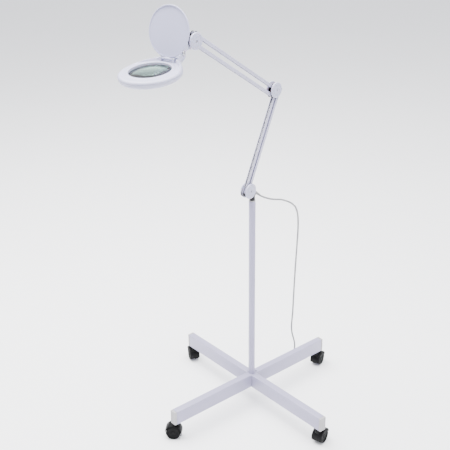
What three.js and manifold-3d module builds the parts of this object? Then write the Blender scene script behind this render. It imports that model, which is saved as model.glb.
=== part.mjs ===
// Floor-standing magnifying lamp on a four-legged caster base.
// A tube pole carries a swivelling bracket, two parallelogram arm sections,
// and a round lens head with a flip-up lid.  Millimetres, +Z up.
// Origin: middle of the lamp's overall box, on the floor; the pole axis stands POLE_X, POLE_Y from it.
// Everything below is drawn from the pole's axis at floor level and moved there at the end.
// The arm lies in the XZ plane, head towards +X.
import * as THREE from 'three';
import * as BufferGeometryUtils from 'three/addons/utils/BufferGeometryUtils.js';
import Module from 'manifold-3d';

const wasm = await Module();
wasm.setup();

const RAD = Math.PI / 180;

// ---------------------------------------------------------------- driving dimensions
const GAP = 0.3;               // clearance between separate touching pieces
const POLE_X = -73.306, POLE_Y = 12.707;   // pole axis from the origin

// base
const BASE_YAW = -8;           // legs against the arm plane, degrees
const BEAM_H = 50, BEAM_W = 25, BEAM_WALL = 1.5;
const BEAM_Z0 = 62;            // underside of the beams
const BEAM_HALF = 350;         // centre to the outer face of an end cap
const CAP_T = 8, CAP_PLUG = 5;
const CASTER_R = 330;          // swivel axis from the centre
const WHEEL_R = 25, WHEEL_W = 15, WHEEL_GAP = 5.2, TRAIL = 16;
const CASTER_YAW = [315, 195, 200, 245];   // resting direction of each caster

// pole
const POLE_R = 11, POLE_WALL = 1.6, POLE_TOP = 770;
const SWIVEL_PIN_R = 6.5;

// arms (angles from +X in the XZ plane)
const LOW_ANG = 116.5, LOW_LEN = 330, LOW_LINK = 13, LOW_LINK_ANG = 154.5;
const UP_ANG = 32.6, UP_LEN = 410, UP_LINK = 13, UP_LINK_ANG = 100;
const LOW_CENTRE = [30, 812];      // midway between the two lower pivots
const ELBOW_UP_CENTRE = [-92, 1114];
const BAR_H = 10, BAR_W = 10, BAR_WALL = 1.2, PIN_R = 3, HOLE_R = 3.25;
const PLATE_Y0 = 5.4, PLATE_Y1 = 7.6;      // inner plates that carry the pins
const COVER_Y0 = 7.9, COVER_Y1 = 14, COVER_R = 25;
const LOW_DISC = [20, 812], ELBOW_DISC = [-104, 1116.5], FRONT_DISC = [255, 1328];

// head
const SWIVEL_X = 284;
const HEAD_YAW = 5, HEAD_TILT = 7.5;       // degrees at rest
const LENS_C = [435.3, 13.24, 1281.9];      // middle of the lens opening's top plane
const TILT_X = -125, TILT_Z = 8;           // tilt axis in the head's own frame
const RING_R = 87, OPEN_R = 58.2, LENS_R = 62, LENS_EDGE = 2.6, LENS_SAG = 5.4, LENS_Z = -8.2;
const LID_R = 69.8, LID_OPEN = 107.5, HINGE_X = -74.3, HINGE_Z = 7.6, LID_OFF = 71.4;

// cord
const CORD_R = 3;

// ---------------------------------------------------------------- helpers
const root = new THREE.Group();
const mat = (color, roughness = 0.45, metalness = 0) =>
  new THREE.MeshStandardMaterial({ color, roughness, metalness });
const M = {
  paint: mat(0xdfdfea, 0.35, 0.1), cap: mat(0xd2d2d4, 0.5), black: mat(0x151517, 0.5),
  tyre: mat(0x1b1b1d, 0.6), steel: mat(0xb9bbc0, 0.3, 1), shell: mat(0xe4e4ee, 0.35),
  nylon: mat(0x17171a, 0.45), glass: mat(0xbfe3da, 0.05), led: mat(0xf2f2ea, 0.6),
  diffuser: mat(0xf4f6f6, 0.5), cord: mat(0xb4b4b8, 0.5), plug: mat(0xc8c8cc, 0.45),
  button: mat(0xcfd2da, 0.4),
};

function solid(geometry, matrix) {
  const g = geometry.clone();
  if (matrix) g.applyMatrix4(matrix);
  g.deleteAttribute('normal'); g.deleteAttribute('uv');
  const m = BufferGeometryUtils.mergeVertices(g, 1e-4);
  const s = new wasm.Manifold(new wasm.Mesh({
    numProp: 3,
    vertProperties: new Float32Array(m.attributes.position.array),
    triVerts: new Uint32Array(m.index.array),
  }));
  return s;
}
const at = (x, y, z) => new THREE.Matrix4().makeTranslation(x, y, z);
const box = (x0, x1, y0, y1, z0, z1) =>
  solid(new THREE.BoxGeometry(x1 - x0, y1 - y0, z1 - z0), at((x0 + x1) / 2, (y0 + y1) / 2, (z0 + z1) / 2));
// cylinder along Y (axis 'y'), Z or X between two stations
function cyl(axis, r, a0, a1, c0, c1, seg = 32, r2 = r) {
  const g = new THREE.CylinderGeometry(r2, r, a1 - a0, seg);
  let m = at(0, (a0 + a1) / 2, 0);
  if (axis === 'z') m = at(c0, c1, 0).multiply(new THREE.Matrix4().makeRotationX(Math.PI / 2)).multiply(m);
  if (axis === 'x') m = at(0, c0, c1).multiply(new THREE.Matrix4().makeRotationZ(-Math.PI / 2)).multiply(m);
  if (axis === 'y') m = at(c0, 0, c1).multiply(m);
  return solid(g, m);
}
// profile [radius, station] about the Y axis, always walked with the material on its left
function latheY(pts, seg = 64) {
  let area = 0;
  pts.forEach((p, i) => { const q = pts[(i + 1) % pts.length]; area += p[0] * q[1] - q[0] * p[1]; });
  const ordered = area > 0 ? pts : [...pts].reverse();
  return new THREE.LatheGeometry(ordered.map(p => new THREE.Vector2(p[0], p[1])), seg);
}
const lathe = (pts, seg = 64) => solid(latheY(pts, seg), new THREE.Matrix4().makeRotationX(Math.PI / 2));   // axis along Z
// outline in XZ pulled along Y from y0 to y1
function plateXZ(shape, y0, y1, seg = 12) {
  const g = new THREE.ExtrudeGeometry(shape, { depth: y1 - y0, bevelEnabled: false, curveSegments: seg });
  // shape x -> X, shape y -> Z, depth -> -Y
  return solid(g, new THREE.Matrix4().makeTranslation(0, y1, 0).multiply(new THREE.Matrix4().makeRotationX(Math.PI / 2)));
}
function hullShape(circles, n = 12) {
  // convex outline around several circles [x, z, r]
  const pts = [];
  for (const [x, z, r] of circles)
    for (let i = 0; i < n; i++) pts.push([x + r * Math.cos(2 * Math.PI * i / n), z + r * Math.sin(2 * Math.PI * i / n)]);
  pts.sort((a, b) => a[0] - b[0] || a[1] - b[1]);
  const cross = (o, a, b) => (a[0] - o[0]) * (b[1] - o[1]) - (a[1] - o[1]) * (b[0] - o[0]);
  const half = (list) => {
    const h = [];
    for (const p of list) {
      while (h.length > 1 && cross(h[h.length - 2], h[h.length - 1], p) <= 1e-6) h.pop();
      h.push(p);
    }
    h.pop();
    return h;
  };
  const out = half(pts).concat(half([...pts].reverse()));
  return new THREE.Shape(out.map(p => new THREE.Vector2(p[0], p[1])));
}
function join(first, ...rest) { let s = first; for (const r of rest) s = s.add(r); return s; }
function cut(first, ...rest) { let s = first; for (const r of rest) s = s.subtract(r); return s; }
function mesh(name, s, material, parent = root) {
  const m = s.getMesh();
  const g = new THREE.BufferGeometry();
  g.setAttribute('position', new THREE.BufferAttribute(new Float32Array(m.vertProperties), 3));
  g.setIndex(new THREE.BufferAttribute(new Uint32Array(m.triVerts), 1));
  g.computeVertexNormals();
  const node = new THREE.Mesh(g, material);
  node.name = name;
  parent.add(node);
  return node;
}
const polar = (c, r, deg) => [c[0] + r * Math.cos(deg * RAD), c[1] + r * Math.sin(deg * RAD)];

// ---------------------------------------------------------------- base
const base = new THREE.Group();
base.rotation.z = BASE_YAW * RAD;
root.add(base);
const BEAM_Z1 = BEAM_Z0 + BEAM_H;
const hw = BEAM_W / 2, END = BEAM_HALF - CAP_T - GAP;

function tubeX(x0, x1) {
  return cut(box(x0, x1, -hw, hw, BEAM_Z0, BEAM_Z1),
    box(x0 - 1, x1 + 1, -hw + BEAM_WALL, hw - BEAM_WALL, BEAM_Z0 + BEAM_WALL, BEAM_Z1 - BEAM_WALL));
}
const stemHole = (x) => cyl('z', 5.4, BEAM_Z0 - 2, BEAM_Z0 + 4, x, 0, 16);
const SET_SCREW = [-17.7, 3.6];
{
  const long = cut(tubeX(-END, END),
    cyl('z', POLE_R + 0.4, BEAM_Z1 - 4, BEAM_Z1 + 2, 0, 0, 24),
    cyl('z', 5.2, BEAM_Z0 - 2, BEAM_Z0 + 4, 0, 0, 24),
    cyl('z', 3.2, BEAM_Z1 - 4, BEAM_Z1 + 2, SET_SCREW[0], SET_SCREW[1], 20),
    stemHole(CASTER_R), stemHole(-CASTER_R));
  mesh('base_beam', long, M.paint, base);
  for (const [name, s] of [['base_leg_left', 1], ['base_leg_right', -1]]) {
    const g = new THREE.Group();
    g.rotation.z = s * 90 * RAD;
    base.add(g);
    mesh(name, cut(tubeX(hw + GAP, END), stemHole(CASTER_R)), M.paint, g);
  }
}
for (let k = 0; k < 4; k++) {
  const g = new THREE.Group();
  g.rotation.z = k * 90 * RAD;
  base.add(g);
  const w = hw - BEAM_WALL - GAP, h0 = BEAM_Z0 + BEAM_WALL + GAP, h1 = BEAM_Z1 - BEAM_WALL - GAP;
  const face = new THREE.Shape();
  const R = 2.5, a = hw, b = BEAM_H / 2;
  face.moveTo(-a + R, -b); face.lineTo(a - R, -b); face.absarc(a - R, -b + R, R, -Math.PI / 2, 0);
  face.lineTo(a, b - R); face.absarc(a - R, b - R, R, 0, Math.PI / 2);
  face.lineTo(-a + R, b); face.absarc(-a + R, b - R, R, Math.PI / 2, Math.PI);
  face.lineTo(-a, -b + R); face.absarc(-a + R, -b + R, R, Math.PI, 1.5 * Math.PI);
  const fg = new THREE.ExtrudeGeometry(face, { depth: CAP_T - 1.2, bevelEnabled: true, bevelThickness: 1.2, bevelSize: 1.2, bevelOffset: -1.2, bevelSegments: 1, curveSegments: 2 });
  // outline x -> Y, y -> Z, depth -> X
  const basis = new THREE.Matrix4().makeBasis(new THREE.Vector3(0, 1, 0), new THREE.Vector3(0, 0, 1), new THREE.Vector3(1, 0, 0));
  let cap = solid(fg, at(BEAM_HALF - CAP_T, 0, (BEAM_Z0 + BEAM_Z1) / 2).multiply(basis));
  cap = cut(cap, box(BEAM_HALF - CAP_T - 5, BEAM_HALF - CAP_T, -30, 30, 0, 200));
  const plug = cut(box(END - CAP_PLUG + GAP, BEAM_HALF - CAP_T + 1, -w, w, h0, h1),
    box(END - CAP_PLUG - 1, BEAM_HALF - CAP_T, -w + 2, w - 2, h0 + 2, h1 - 2));
  mesh('end_cap_' + (k + 1), join(cap, plug), M.cap, g);
}

// casters: stem in the beam's hole, hood with a central web, two wheels each
for (let k = 0; k < 4; k++) {
  const g = new THREE.Group();
  const a = k * 90 * RAD;
  g.position.set(CASTER_R * Math.cos(a), CASTER_R * Math.sin(a), 0);
  g.rotation.z = CASTER_YAW[k] * RAD;
  base.add(g);
  const n = k + 1;
  const side = WHEEL_GAP / 2 + WHEEL_W + 0.6;
  const stem = join(cyl('z', 4.9, 52, BEAM_Z0 + 14, 0, 0, 12), cyl('z', 8, BEAM_Z0 - 2.2, BEAM_Z0 - GAP, 0, 0, 16));
  mesh(`caster_stem_${n}`, stem, M.steel, g);
  // hood: arched cover over the wheels, central web with the axle stubs, stem socket
  const arch = new THREE.Shape();
  const r0 = WHEEL_R + 1.2, r1 = WHEEL_R + 3.6, t0 = 12 * RAD, t1 = 200 * RAD, N = 7;
  for (let i = 0; i <= N; i++) { const t = t0 + (t1 - t0) * i / N; const p = [r1 * Math.cos(t), r1 * Math.sin(t)]; i ? arch.lineTo(...p) : arch.moveTo(...p); }
  for (let i = N; i >= 0; i--) { const t = t0 + (t1 - t0) * i / N; arch.lineTo(r0 * Math.cos(t), r0 * Math.sin(t)); }
  const mv = (s) => s.translate([TRAIL, 0, WHEEL_R]);
  let hood = join(mv(plateXZ(arch, -side, side)), cyl('z', 9.5, 44, BEAM_Z0 - 3, 0, 0, 14, 8.2));
  hood = cut(hood, mv(cyl('y', WHEEL_R + 1.15, -side - 1, side + 1, 0, 0, 24)));
  const web = new THREE.Shape();
  for (let i = 0; i <= N; i++) { const t = t0 + (t1 - t0) * i / N; const p = [(r0 + 0.8) * Math.cos(t), (r0 + 0.8) * Math.sin(t)]; i ? web.lineTo(...p) : web.moveTo(...p); }
  web.lineTo(-9, -9); web.lineTo(9, -9);
  hood = join(hood, mv(plateXZ(web, -WHEEL_GAP / 2 + 0.5, WHEEL_GAP / 2 - 0.5)));
  hood = join(hood, mv(cyl('y', 3.0, -side + 1.5, side - 1.5, 0, 0, 10)));
  hood = cut(hood, cyl('z', 5.4, 51.5, BEAM_Z0 + 1, 0, 0, 12));
  mesh(`caster_hood_${n}`, hood, M.black, g);
  for (const [tag, s] of [['l', 1], ['r', -1]]) {
    const y0 = WHEEL_GAP / 2, y1 = y0 + WHEEL_W;
    // tread profile with crowned edges and a dished face, revolved about the axle
    // (the tread's facets touch the rolling circle, and one of them lies on the floor)
    const SEG = 18, RT = WHEEL_R / Math.cos(Math.PI / SEG);
    const prof = [[3.35, y0], [WHEEL_R - 1.5, y0], [RT, y0 + 2.5], [RT, y1 - 3.5],
      [WHEEL_R - 2.5, y1], [WHEEL_R - 6, y1], [WHEEL_R - 8, y1 - 2.2], [3.35, y1 - 2.2], [3.35, y0]];
    const w = solid(latheY(prof, SEG), new THREE.Matrix4().makeRotationY(Math.PI / SEG));
    const wheel = (s > 0 ? w : w.mirror([0, 1, 0])).translate([TRAIL, 0, WHEEL_R]);
    mesh(`caster_wheel_${n}${tag}`, wheel, M.tyre, g);
  }
}

// ---------------------------------------------------------------- pole
{
  const bore = POLE_R - POLE_WALL;
  const z0 = BEAM_Z0 + BEAM_WALL + GAP;
  mesh('pole', cut(cyl('z', POLE_R, z0, POLE_TOP, 0, 0, 24), cyl('z', bore, z0 + 4, POLE_TOP + 1, 0, 0, 24),
    cyl('z', 5.2, z0 - 1, z0 + 5, 0, 0, 24)), M.paint);
  // bolt from below with a wide head, nut drawn up inside the tube
  mesh('pole_bolt', join(cyl('z', 8.5, BEAM_Z0 - 6, BEAM_Z0 - GAP, 0, 0, 6), cyl('z', 4.9, BEAM_Z0 - 2, z0 + 9, 0, 0, 24),
    cyl('z', 7.5, z0 + 4 + GAP, z0 + 9, 0, 0, 6)), M.steel);
  // top bush: flange on the tube end, sleeve inside
  mesh('pole_top_bush', cut(join(cyl('z', POLE_R, POLE_TOP + GAP, POLE_TOP + 3.2, 0, 0, 24), cyl('z', bore - GAP, POLE_TOP - 40, POLE_TOP + 1, 0, 0, 24)),
    cyl('z', SWIVEL_PIN_R + 0.15, POLE_TOP - 50, POLE_TOP + 5, 0, 0, 24)), M.cap);
}

// ---------------------------------------------------------------- arm pivots
// the cord leaves the bracket's back, pointing down at this slope
const OUTLET = [0, 0, 808], OUTLET_DIP = 38, OUTLET_S = 15, RELIEF_LEN = 28;
const alongCord = (s) => s.rotate([0, -90 - OUTLET_DIP, 0]).translate(OUTLET);
const outletPoint = (d) => [OUTLET[0] - d * Math.cos(OUTLET_DIP * RAD), 0, OUTLET[2] - d * Math.sin(OUTLET_DIP * RAD)];
const LOW_F = polar(LOW_CENTRE, -LOW_LINK, LOW_LINK_ANG);      // front, lower bracket
const LOW_R = polar(LOW_CENTRE, LOW_LINK, LOW_LINK_ANG);       // rear, lower bracket
const EL_F = polar(LOW_F, LOW_LEN, LOW_ANG), EL_R = polar(LOW_R, LOW_LEN, LOW_ANG);
const EU_T = polar(ELBOW_UP_CENTRE, UP_LINK, UP_LINK_ANG), EU_B = polar(ELBOW_UP_CENTRE, -UP_LINK, UP_LINK_ANG);
const FR_T = polar(EU_T, UP_LEN, UP_ANG), FR_B = polar(EU_B, UP_LEN, UP_ANG);

// pivot block: two thin plates held apart by the pivot pins
function plates(circles) {
  const s = hullShape(circles);
  return join(plateXZ(s, PLATE_Y0, PLATE_Y1), plateXZ(s, -PLATE_Y1, -PLATE_Y0));
}
const pins = (...p) => p.map(q => cyl('y', PIN_R, -PLATE_Y1 + 0.5, PLATE_Y1 - 0.5, q[0], q[1], 14));
// round domed cover with a screw well
function cover(disc, side) {
  const g = latheY([[0, 0], [COVER_R - 0.6, 0], [COVER_R, 0.8], [COVER_R, 3.2], [COVER_R - 2.2, 5.3], [COVER_R - 6, 6.1], [0, 6.1]], 20);
  let s = solid(g);
  // screw well
  s = cut(s, cyl('y', 3.5, 2.8, 8, 0, 0, 12), cyl('y', 1.95, -1, 8, 0, 0, 8));
  s = s.translate([disc[0], COVER_Y0, disc[1]]);
  return side > 0 ? s : s.mirror([0, 1, 0]);
}
function coverScrew(disc) {
  const s = join(cyl('y', 3.0, COVER_Y0 + 3.1, COVER_Y0 + 5.2, disc[0], disc[1], 12), cyl('y', 1.6, COVER_Y0 - 0.1, COVER_Y0 + 4, disc[0], disc[1], 8));
  return cut(s, box(disc[0] - 2.2, disc[0] + 2.2, COVER_Y0 + 4.4, COVER_Y0 + 8, disc[1] - 0.45, disc[1] + 0.45));
}

// lower bracket, turns on the pole
{
  let b = join(plates([[LOW_F[0], LOW_F[1], 7], [LOW_R[0], LOW_R[1], 8], [LOW_DISC[0], LOW_DISC[1] - 6, 15], [0, 795, 9]]), ...pins(LOW_F, LOW_R));
  b = join(b, box(-8, 21, -PLATE_Y1 + 0.5, PLATE_Y1 - 0.5, 791, 799));
  b = join(b, cyl('z', 9, POLE_TOP + 3.2 + GAP, 785.6, 0, 0, 20), cyl('z', 7.2, 785, 797, 0, 0, 20), cyl('z', SWIVEL_PIN_R, POLE_TOP - 38, POLE_TOP + 6, 0, 0, 20));
  // outlet for the cord at the back
  b = join(b, alongCord(cyl('z', 5.2, 5, OUTLET_S, 0, 0, 16)));
  mesh('swivel_bracket', b, M.nylon);
  mesh('bracket_cover_front', cover(LOW_DISC, 1), M.shell);
  mesh('bracket_cover_rear', cover(LOW_DISC, -1), M.shell);
  mesh('bracket_screw', coverScrew(LOW_DISC), M.steel);
}
// elbow
{
  const b = join(plates([[EL_F[0], EL_F[1], 7], [EL_R[0], EL_R[1], 7], [EU_T[0], EU_T[1], 7], [EU_B[0], EU_B[1], 7], [ELBOW_DISC[0], ELBOW_DISC[1], 16]]),
    ...pins(EL_F, EL_R, EU_T, EU_B));
  mesh('elbow_block', b, M.nylon);
  mesh('elbow_cover_front', cover(ELBOW_DISC, 1), M.shell);
  mesh('elbow_cover_rear', cover(ELBOW_DISC, -1), M.shell);
  mesh('elbow_screw', coverScrew(ELBOW_DISC), M.steel);
}
// front bracket with the nose that carries the head's swivel pin
{
  let b = join(plates([[FR_T[0], FR_T[1], 7], [FR_B[0], FR_B[1], 7], [FRONT_DISC[0], FRONT_DISC[1], 16]]), ...pins(FR_T, FR_B));
  b = join(b, plateXZ(hullShape([[SWIVEL_X, 1338, 6], [264, 1336, 8], [264, 1330, 8]]), -PLATE_Y1 + 0.5, PLATE_Y1 - 0.5));
  b = cut(b, box(SWIVEL_X - 9, SWIVEL_X + 9, -9, 9, 1310, 1332.3));
  b = cut(b, cyl('y', 6.2, -5.3, 5.3, FR_B[0], FR_B[1], 24));
  b = join(b, ...pins(FR_B), cyl('z', 3, 1313.5, 1334, SWIVEL_X, 0, 24));
  mesh('front_block', b, M.nylon);
  mesh('front_cover_front', cover(FRONT_DISC, 1), M.shell);
  mesh('front_cover_rear', cover(FRONT_DISC, -1), M.shell);
  mesh('front_screw', coverScrew(FRONT_DISC), M.steel);
}

// ---------------------------------------------------------------- channel bars and springs
// local frame: X along the bar from one pivot to the other, web on +Z, open on -Z
function bar(len) {
  const h = BAR_H / 2, w = BAR_W / 2;
  let s = box(-h, len + h, -w, w, -h, h);
  s = cut(s, box(-h - 1, len + h + 1, -w + BAR_WALL, w - BAR_WALL, -h - 1, h - BAR_WALL));
  const outline = plateXZ(hullShape([[0, 0, h], [len, 0, h]], 16), -w - 1, w + 1);
  s = s.intersect(outline);
  return cut(s, cyl('y', HOLE_R, -w - 1, w + 1, 0, 0, 14), cyl('y', HOLE_R, -w - 1, w + 1, len, 0, 14));
}
function placed(p, ang) {
  const g = new THREE.Group();
  g.position.set(p[0], 0, p[1]);
  g.rotation.y = -ang * RAD;
  root.add(g);
  return g;
}
mesh('lower_bar_front', bar(LOW_LEN), M.paint, placed(LOW_F, LOW_ANG));
mesh('lower_bar_rear', bar(LOW_LEN), M.paint, placed(LOW_R, LOW_ANG));
mesh('upper_bar_top', bar(UP_LEN), M.paint, placed(EU_T, UP_ANG));
mesh('upper_bar_bottom', bar(UP_LEN), M.paint, placed(EU_B, UP_ANG));
mesh('lower_spring', cyl('x', 3, 20, LOW_LEN - 20, 0, -0.6, 12), M.steel, placed(LOW_F, LOW_ANG));
mesh('upper_spring', cyl('x', 3, 20, UP_LEN - 20, 0, -0.6, 12), M.steel, placed(EU_B, UP_ANG));

// ---------------------------------------------------------------- head
const head = new THREE.Group();
head.position.set(...LENS_C);
head.rotation.set(0, HEAD_TILT * RAD, HEAD_YAW * RAD, 'ZYX');
root.add(head);

// tilt axis in world coordinates
head.updateMatrixWorld(true);
const TILT_W = new THREE.Vector3(TILT_X, 0, TILT_Z).applyMatrix4(head.matrixWorld);

// yoke: barrel on the nose's pin, tongue to the tilt axis
{
  const g = new THREE.Group();
  g.position.set(SWIVEL_X, 0, 0);
  g.rotation.z = Math.atan2(TILT_W.y, TILT_W.x - SWIVEL_X);
  root.add(g);
  const L = Math.hypot(TILT_W.y, TILT_W.x - SWIVEL_X), z = TILT_W.z;
  let y = join(cyl('z', 6, 1308, 1332, 0, 0, 24), plateXZ(hullShape([[0, 1314, 6], [L, z, 9]]), -5.6, 5.6));
  y = cut(y, cyl('z', 3.2, 1312.5, 1334, 0, 0, 24), cyl('y', 3.2, -8, 8, L, z, 24));
  mesh('head_yoke', y, M.shell, g);
}

// upper shell: lens seat, bezel, sloping top, tail with two ears for the tilt axis, hinge lugs
const EAR_Y0 = 6.6, EAR_Y1 = 14;
{
  const ring = lathe([[OPEN_R, -5.6], [OPEN_R, 0.2], [OPEN_R + 1.4, 1.4], [64, 1.4], [66, 0.6], [77, -0.6], [84, -3.4], [RING_R, -8],
    [84.4, -8], [82, -5.4], [76, -3.2], [66.5, -2.2], [66.5, -9.2], [LENS_R + GAP, -9.2], [LENS_R + GAP, -5.6], [OPEN_R, -5.6]], 36);
  // tail: tapers from the ring to the fork
  const tail = new THREE.Shape();
  tail.moveTo(-45, -71); tail.lineTo(-45, 71);
  tail.lineTo(-76, 46); tail.lineTo(-112, EAR_Y1 + 1.5); tail.lineTo(-128, EAR_Y1); tail.lineTo(-133, EAR_Y1 - 1.5);
  tail.lineTo(-133, -EAR_Y1 + 1.5); tail.lineTo(-128, -EAR_Y1); tail.lineTo(-112, -EAR_Y1 - 1.5); tail.lineTo(-76, -46);
  let t = solid(new THREE.ExtrudeGeometry(tail, { depth: 7.2, bevelEnabled: false }), at(0, 0, -8));
  t = cut(t, cyl('z', 76, -12, 4, 0, 0, 36));
  let s = join(ring, t);
  // ears
  const ear = plateXZ(hullShape([[TILT_X, TILT_Z, 10.5], [-112, -4, 4], [-130, -4, 4]]), -EAR_Y1, EAR_Y1);
  s = join(s, ear);
  s = cut(s, box(-150, -106, -EAR_Y0, EAR_Y0, -30, 40));
  s = cut(s, cyl('y', 3.2, -20, 20, TILT_X, TILT_Z, 20));
  // hinge lugs
  for (const sgn of [1, -1]) {
    const y0 = sgn > 0 ? 19.4 : -25, y1 = sgn > 0 ? 25 : -19.4;
    s = join(s, plateXZ(hullShape([[HINGE_X, HINGE_Z, 4.6], [HINGE_X - 5, -3, 2.2], [HINGE_X + 4, -3, 2.2]]), y0, y1));
  }
  s = cut(s, cyl('y', 1.75, -30, 30, HINGE_X, HINGE_Z, 16));
  mesh('head_upper_shell', s, M.shell, head);
}
// lower shell: outer wall, lens retainer, recess for the light ring
{
  const z = -8 - GAP;
  const ring = lathe([[RING_R, z], [86.2, -14], [81, -20.5], [77.6, -22.8], [77.6, -18.2], [63.4, -18.2], [63.4, -23.2], [60, -23.2], [60, -11.4],
    [LENS_R, -9.8], [64.8, -9.8], [66.2, -15.6], [79, -15.6], [83.6, -12.5], [84.4, z], [RING_R, z]], 36);
  const tail = new THREE.Shape();
  tail.moveTo(-50, -68); tail.lineTo(-50, 68);
  tail.lineTo(-76, 45); tail.lineTo(-112, EAR_Y1 + 1); tail.lineTo(-132, EAR_Y1 - 1);
  tail.lineTo(-132, -EAR_Y1 + 1); tail.lineTo(-112, -EAR_Y1 - 1); tail.lineTo(-76, -45);
  let t = solid(new THREE.ExtrudeGeometry(tail, { depth: 14, bevelEnabled: false }), at(0, 0, z - 14));
  t = cut(t, cyl('z', 80, -30, 4, 0, 0, 36));
  // rear underside slopes up towards the fork
  t = cut(t, plateXZ(new THREE.Shape([[-150, -40], [-84, -40], [-84, -22.3], [-150, -9.5]].map(p => new THREE.Vector2(...p))), -80, 80));
  let s = join(ring, t);
  s = cut(s, box(-150, -106, -EAR_Y0, EAR_Y0, -30, 40));
  // seat of the push button on the left of the tail
  s = cut(s, cyl('z', 5.4, -30, -14.6, -95, 16, 24));
  mesh('head_lower_shell', s, M.shell, head);
}
// lens
{
  const n = 4, pts = [[0, LENS_Z + LENS_EDGE / 2 + LENS_SAG]];
  const R = (LENS_R * LENS_R + LENS_SAG * LENS_SAG) / (2 * LENS_SAG);
  for (let i = 1; i <= n; i++) { const r = LENS_R * i / n; pts.push([r, LENS_Z + LENS_EDGE / 2 + LENS_SAG - (R - Math.sqrt(R * R - r * r))]); }
  for (let i = n; i >= 1; i--) { const r = LENS_R * i / n; pts.push([r, LENS_Z - LENS_EDGE / 2 - LENS_SAG + (R - Math.sqrt(R * R - r * r))]); }
  pts.push([0, LENS_Z - LENS_EDGE / 2 - LENS_SAG]);
  mesh('magnifier_lens', lathe(pts, 32), M.glass, head);
}
// light ring board and its diffuser, under the lower shell's recess
mesh('led_ring', lathe([[63.9, -20.1], [77.1, -20.1], [77.1, -18.5], [63.9, -18.5], [63.9, -20.1]], 28), M.led, head);
mesh('light_diffuser', lathe([[63.8, -22.6], [77.2, -22.6], [77.2, -20.5], [63.8, -20.5], [63.8, -22.6]], 28), M.diffuser, head);
// push button
mesh('power_button', join(cyl('z', 5, -19.2, -16.4, -95, 16, 24), cyl('z', 3.6, -20.6, -19, -95, 16, 24)), M.button, head);
// tilt clamp screw through the ears and the tongue
mesh('tilt_screw', join(cyl('y', 2.9, -EAR_Y1 - 1, EAR_Y1 + 1, TILT_X, TILT_Z, 20), cyl('y', 5.4, EAR_Y1 + GAP, EAR_Y1 + 3, TILT_X, TILT_Z, 24),
  cyl('y', 8.5, -EAR_Y1 - 9, -EAR_Y1 - GAP, TILT_X, TILT_Z, 12)), M.steel, head);

// lid, drawn closed over the lens and turned up about its hinge
{
  const g = new THREE.Group();
  g.position.set(HINGE_X, 0, HINGE_Z);
  g.rotation.y = -LID_OPEN * RAD;
  head.add(g);
  let s = lathe([[0, -1.6], [LID_R - 3.2, -2.6], [LID_R - 2.6, -4.4], [LID_R - 0.6, -4.4], [LID_R, -3.4], [LID_R - 0.4, -1.4], [LID_R - 4, 0.2], [LID_R - 14, 1.2], [0, 2.4]], 36)
    .translate([LID_OFF, 0, 0]);
  const tab = new THREE.Shape([[5.2, -25], [40, -42], [40, 42], [5.2, 25]].map(p => new THREE.Vector2(...p)));
  const t = solid(new THREE.ExtrudeGeometry(tab, { depth: 2.4, bevelEnabled: false }), at(0, 0, -2.2));
  s = join(s, cut(t, cyl('z', LID_R - 6, -6, 6, LID_OFF, 0, 36)));
  s = cut(s, box(-10, 5.2, -80, 80, -10, 10));
  s = join(s, cyl('y', 4.2, -18.8, 18.8, 0, 0, 24), box(0, 7, -18.8, 18.8, -2.2, 0.2));
  s = cut(s, cyl('y', 1.75, -30, 30, 0, 0, 16));
  mesh('lens_lid', s, M.shell, g);
}
mesh('lid_hinge_pin', cyl('y', 1.55, -24.6, 24.6, HINGE_X, HINGE_Z, 16), M.steel, head);

// ---------------------------------------------------------------- cord
// From the back of the swivelling bracket, out and down to the floor behind one leg, where the
// spare length is folded into a slim hank in line with that leg, with the plug at its end.
const LEG = [Math.cos((180 + BASE_YAW) * RAD), Math.sin((180 + BASE_YAW) * RAD)];
const OFF = [LEG[1] * -1, LEG[0]];                                 // away from that leg
const fl = (r, o, z) => [LEG[0] * r + OFF[0] * o, LEG[1] * r + OFF[1] * o, z];
const HANK = { r0: 112, r1: 244, o: 86, w: 42, z0: 0.4, h: 20 };
const S0 = OUTLET_S + GAP + RELIEF_LEN + GAP;
const UPPER_ROUTE = [outletPoint(S0), outletPoint(S0 + 9), [-64, 0, 762], [-100.8, 0, 744.5], [-128, 0, 735], [-150, 0, 727.5], [-173, 0, 716.8], [-193, 0, 705.8], [-211, 0, 694]];
const LOWER_ROUTE = [[-211, 0, 694], [-236, -2, 671], [-256, -7, 636], [-270, -14, 585], [-279, -23, 510], [-284, -31, 420], [-288, -38, 320], [-292, -44, 220], [-296, -50, 130],
  fl(291, 78, 76), fl(289, 77, 44), fl(277, 73, 24), fl(258, 69, 18), fl(HANK.r1 - 5.6, 68, 17.2)];
function smooth(points, n) {
  const c = new THREE.CatmullRomCurve3(points.map(p => new THREE.Vector3(...p)), false, 'centripetal');
  return c.getSpacedPoints(n);
}
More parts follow.
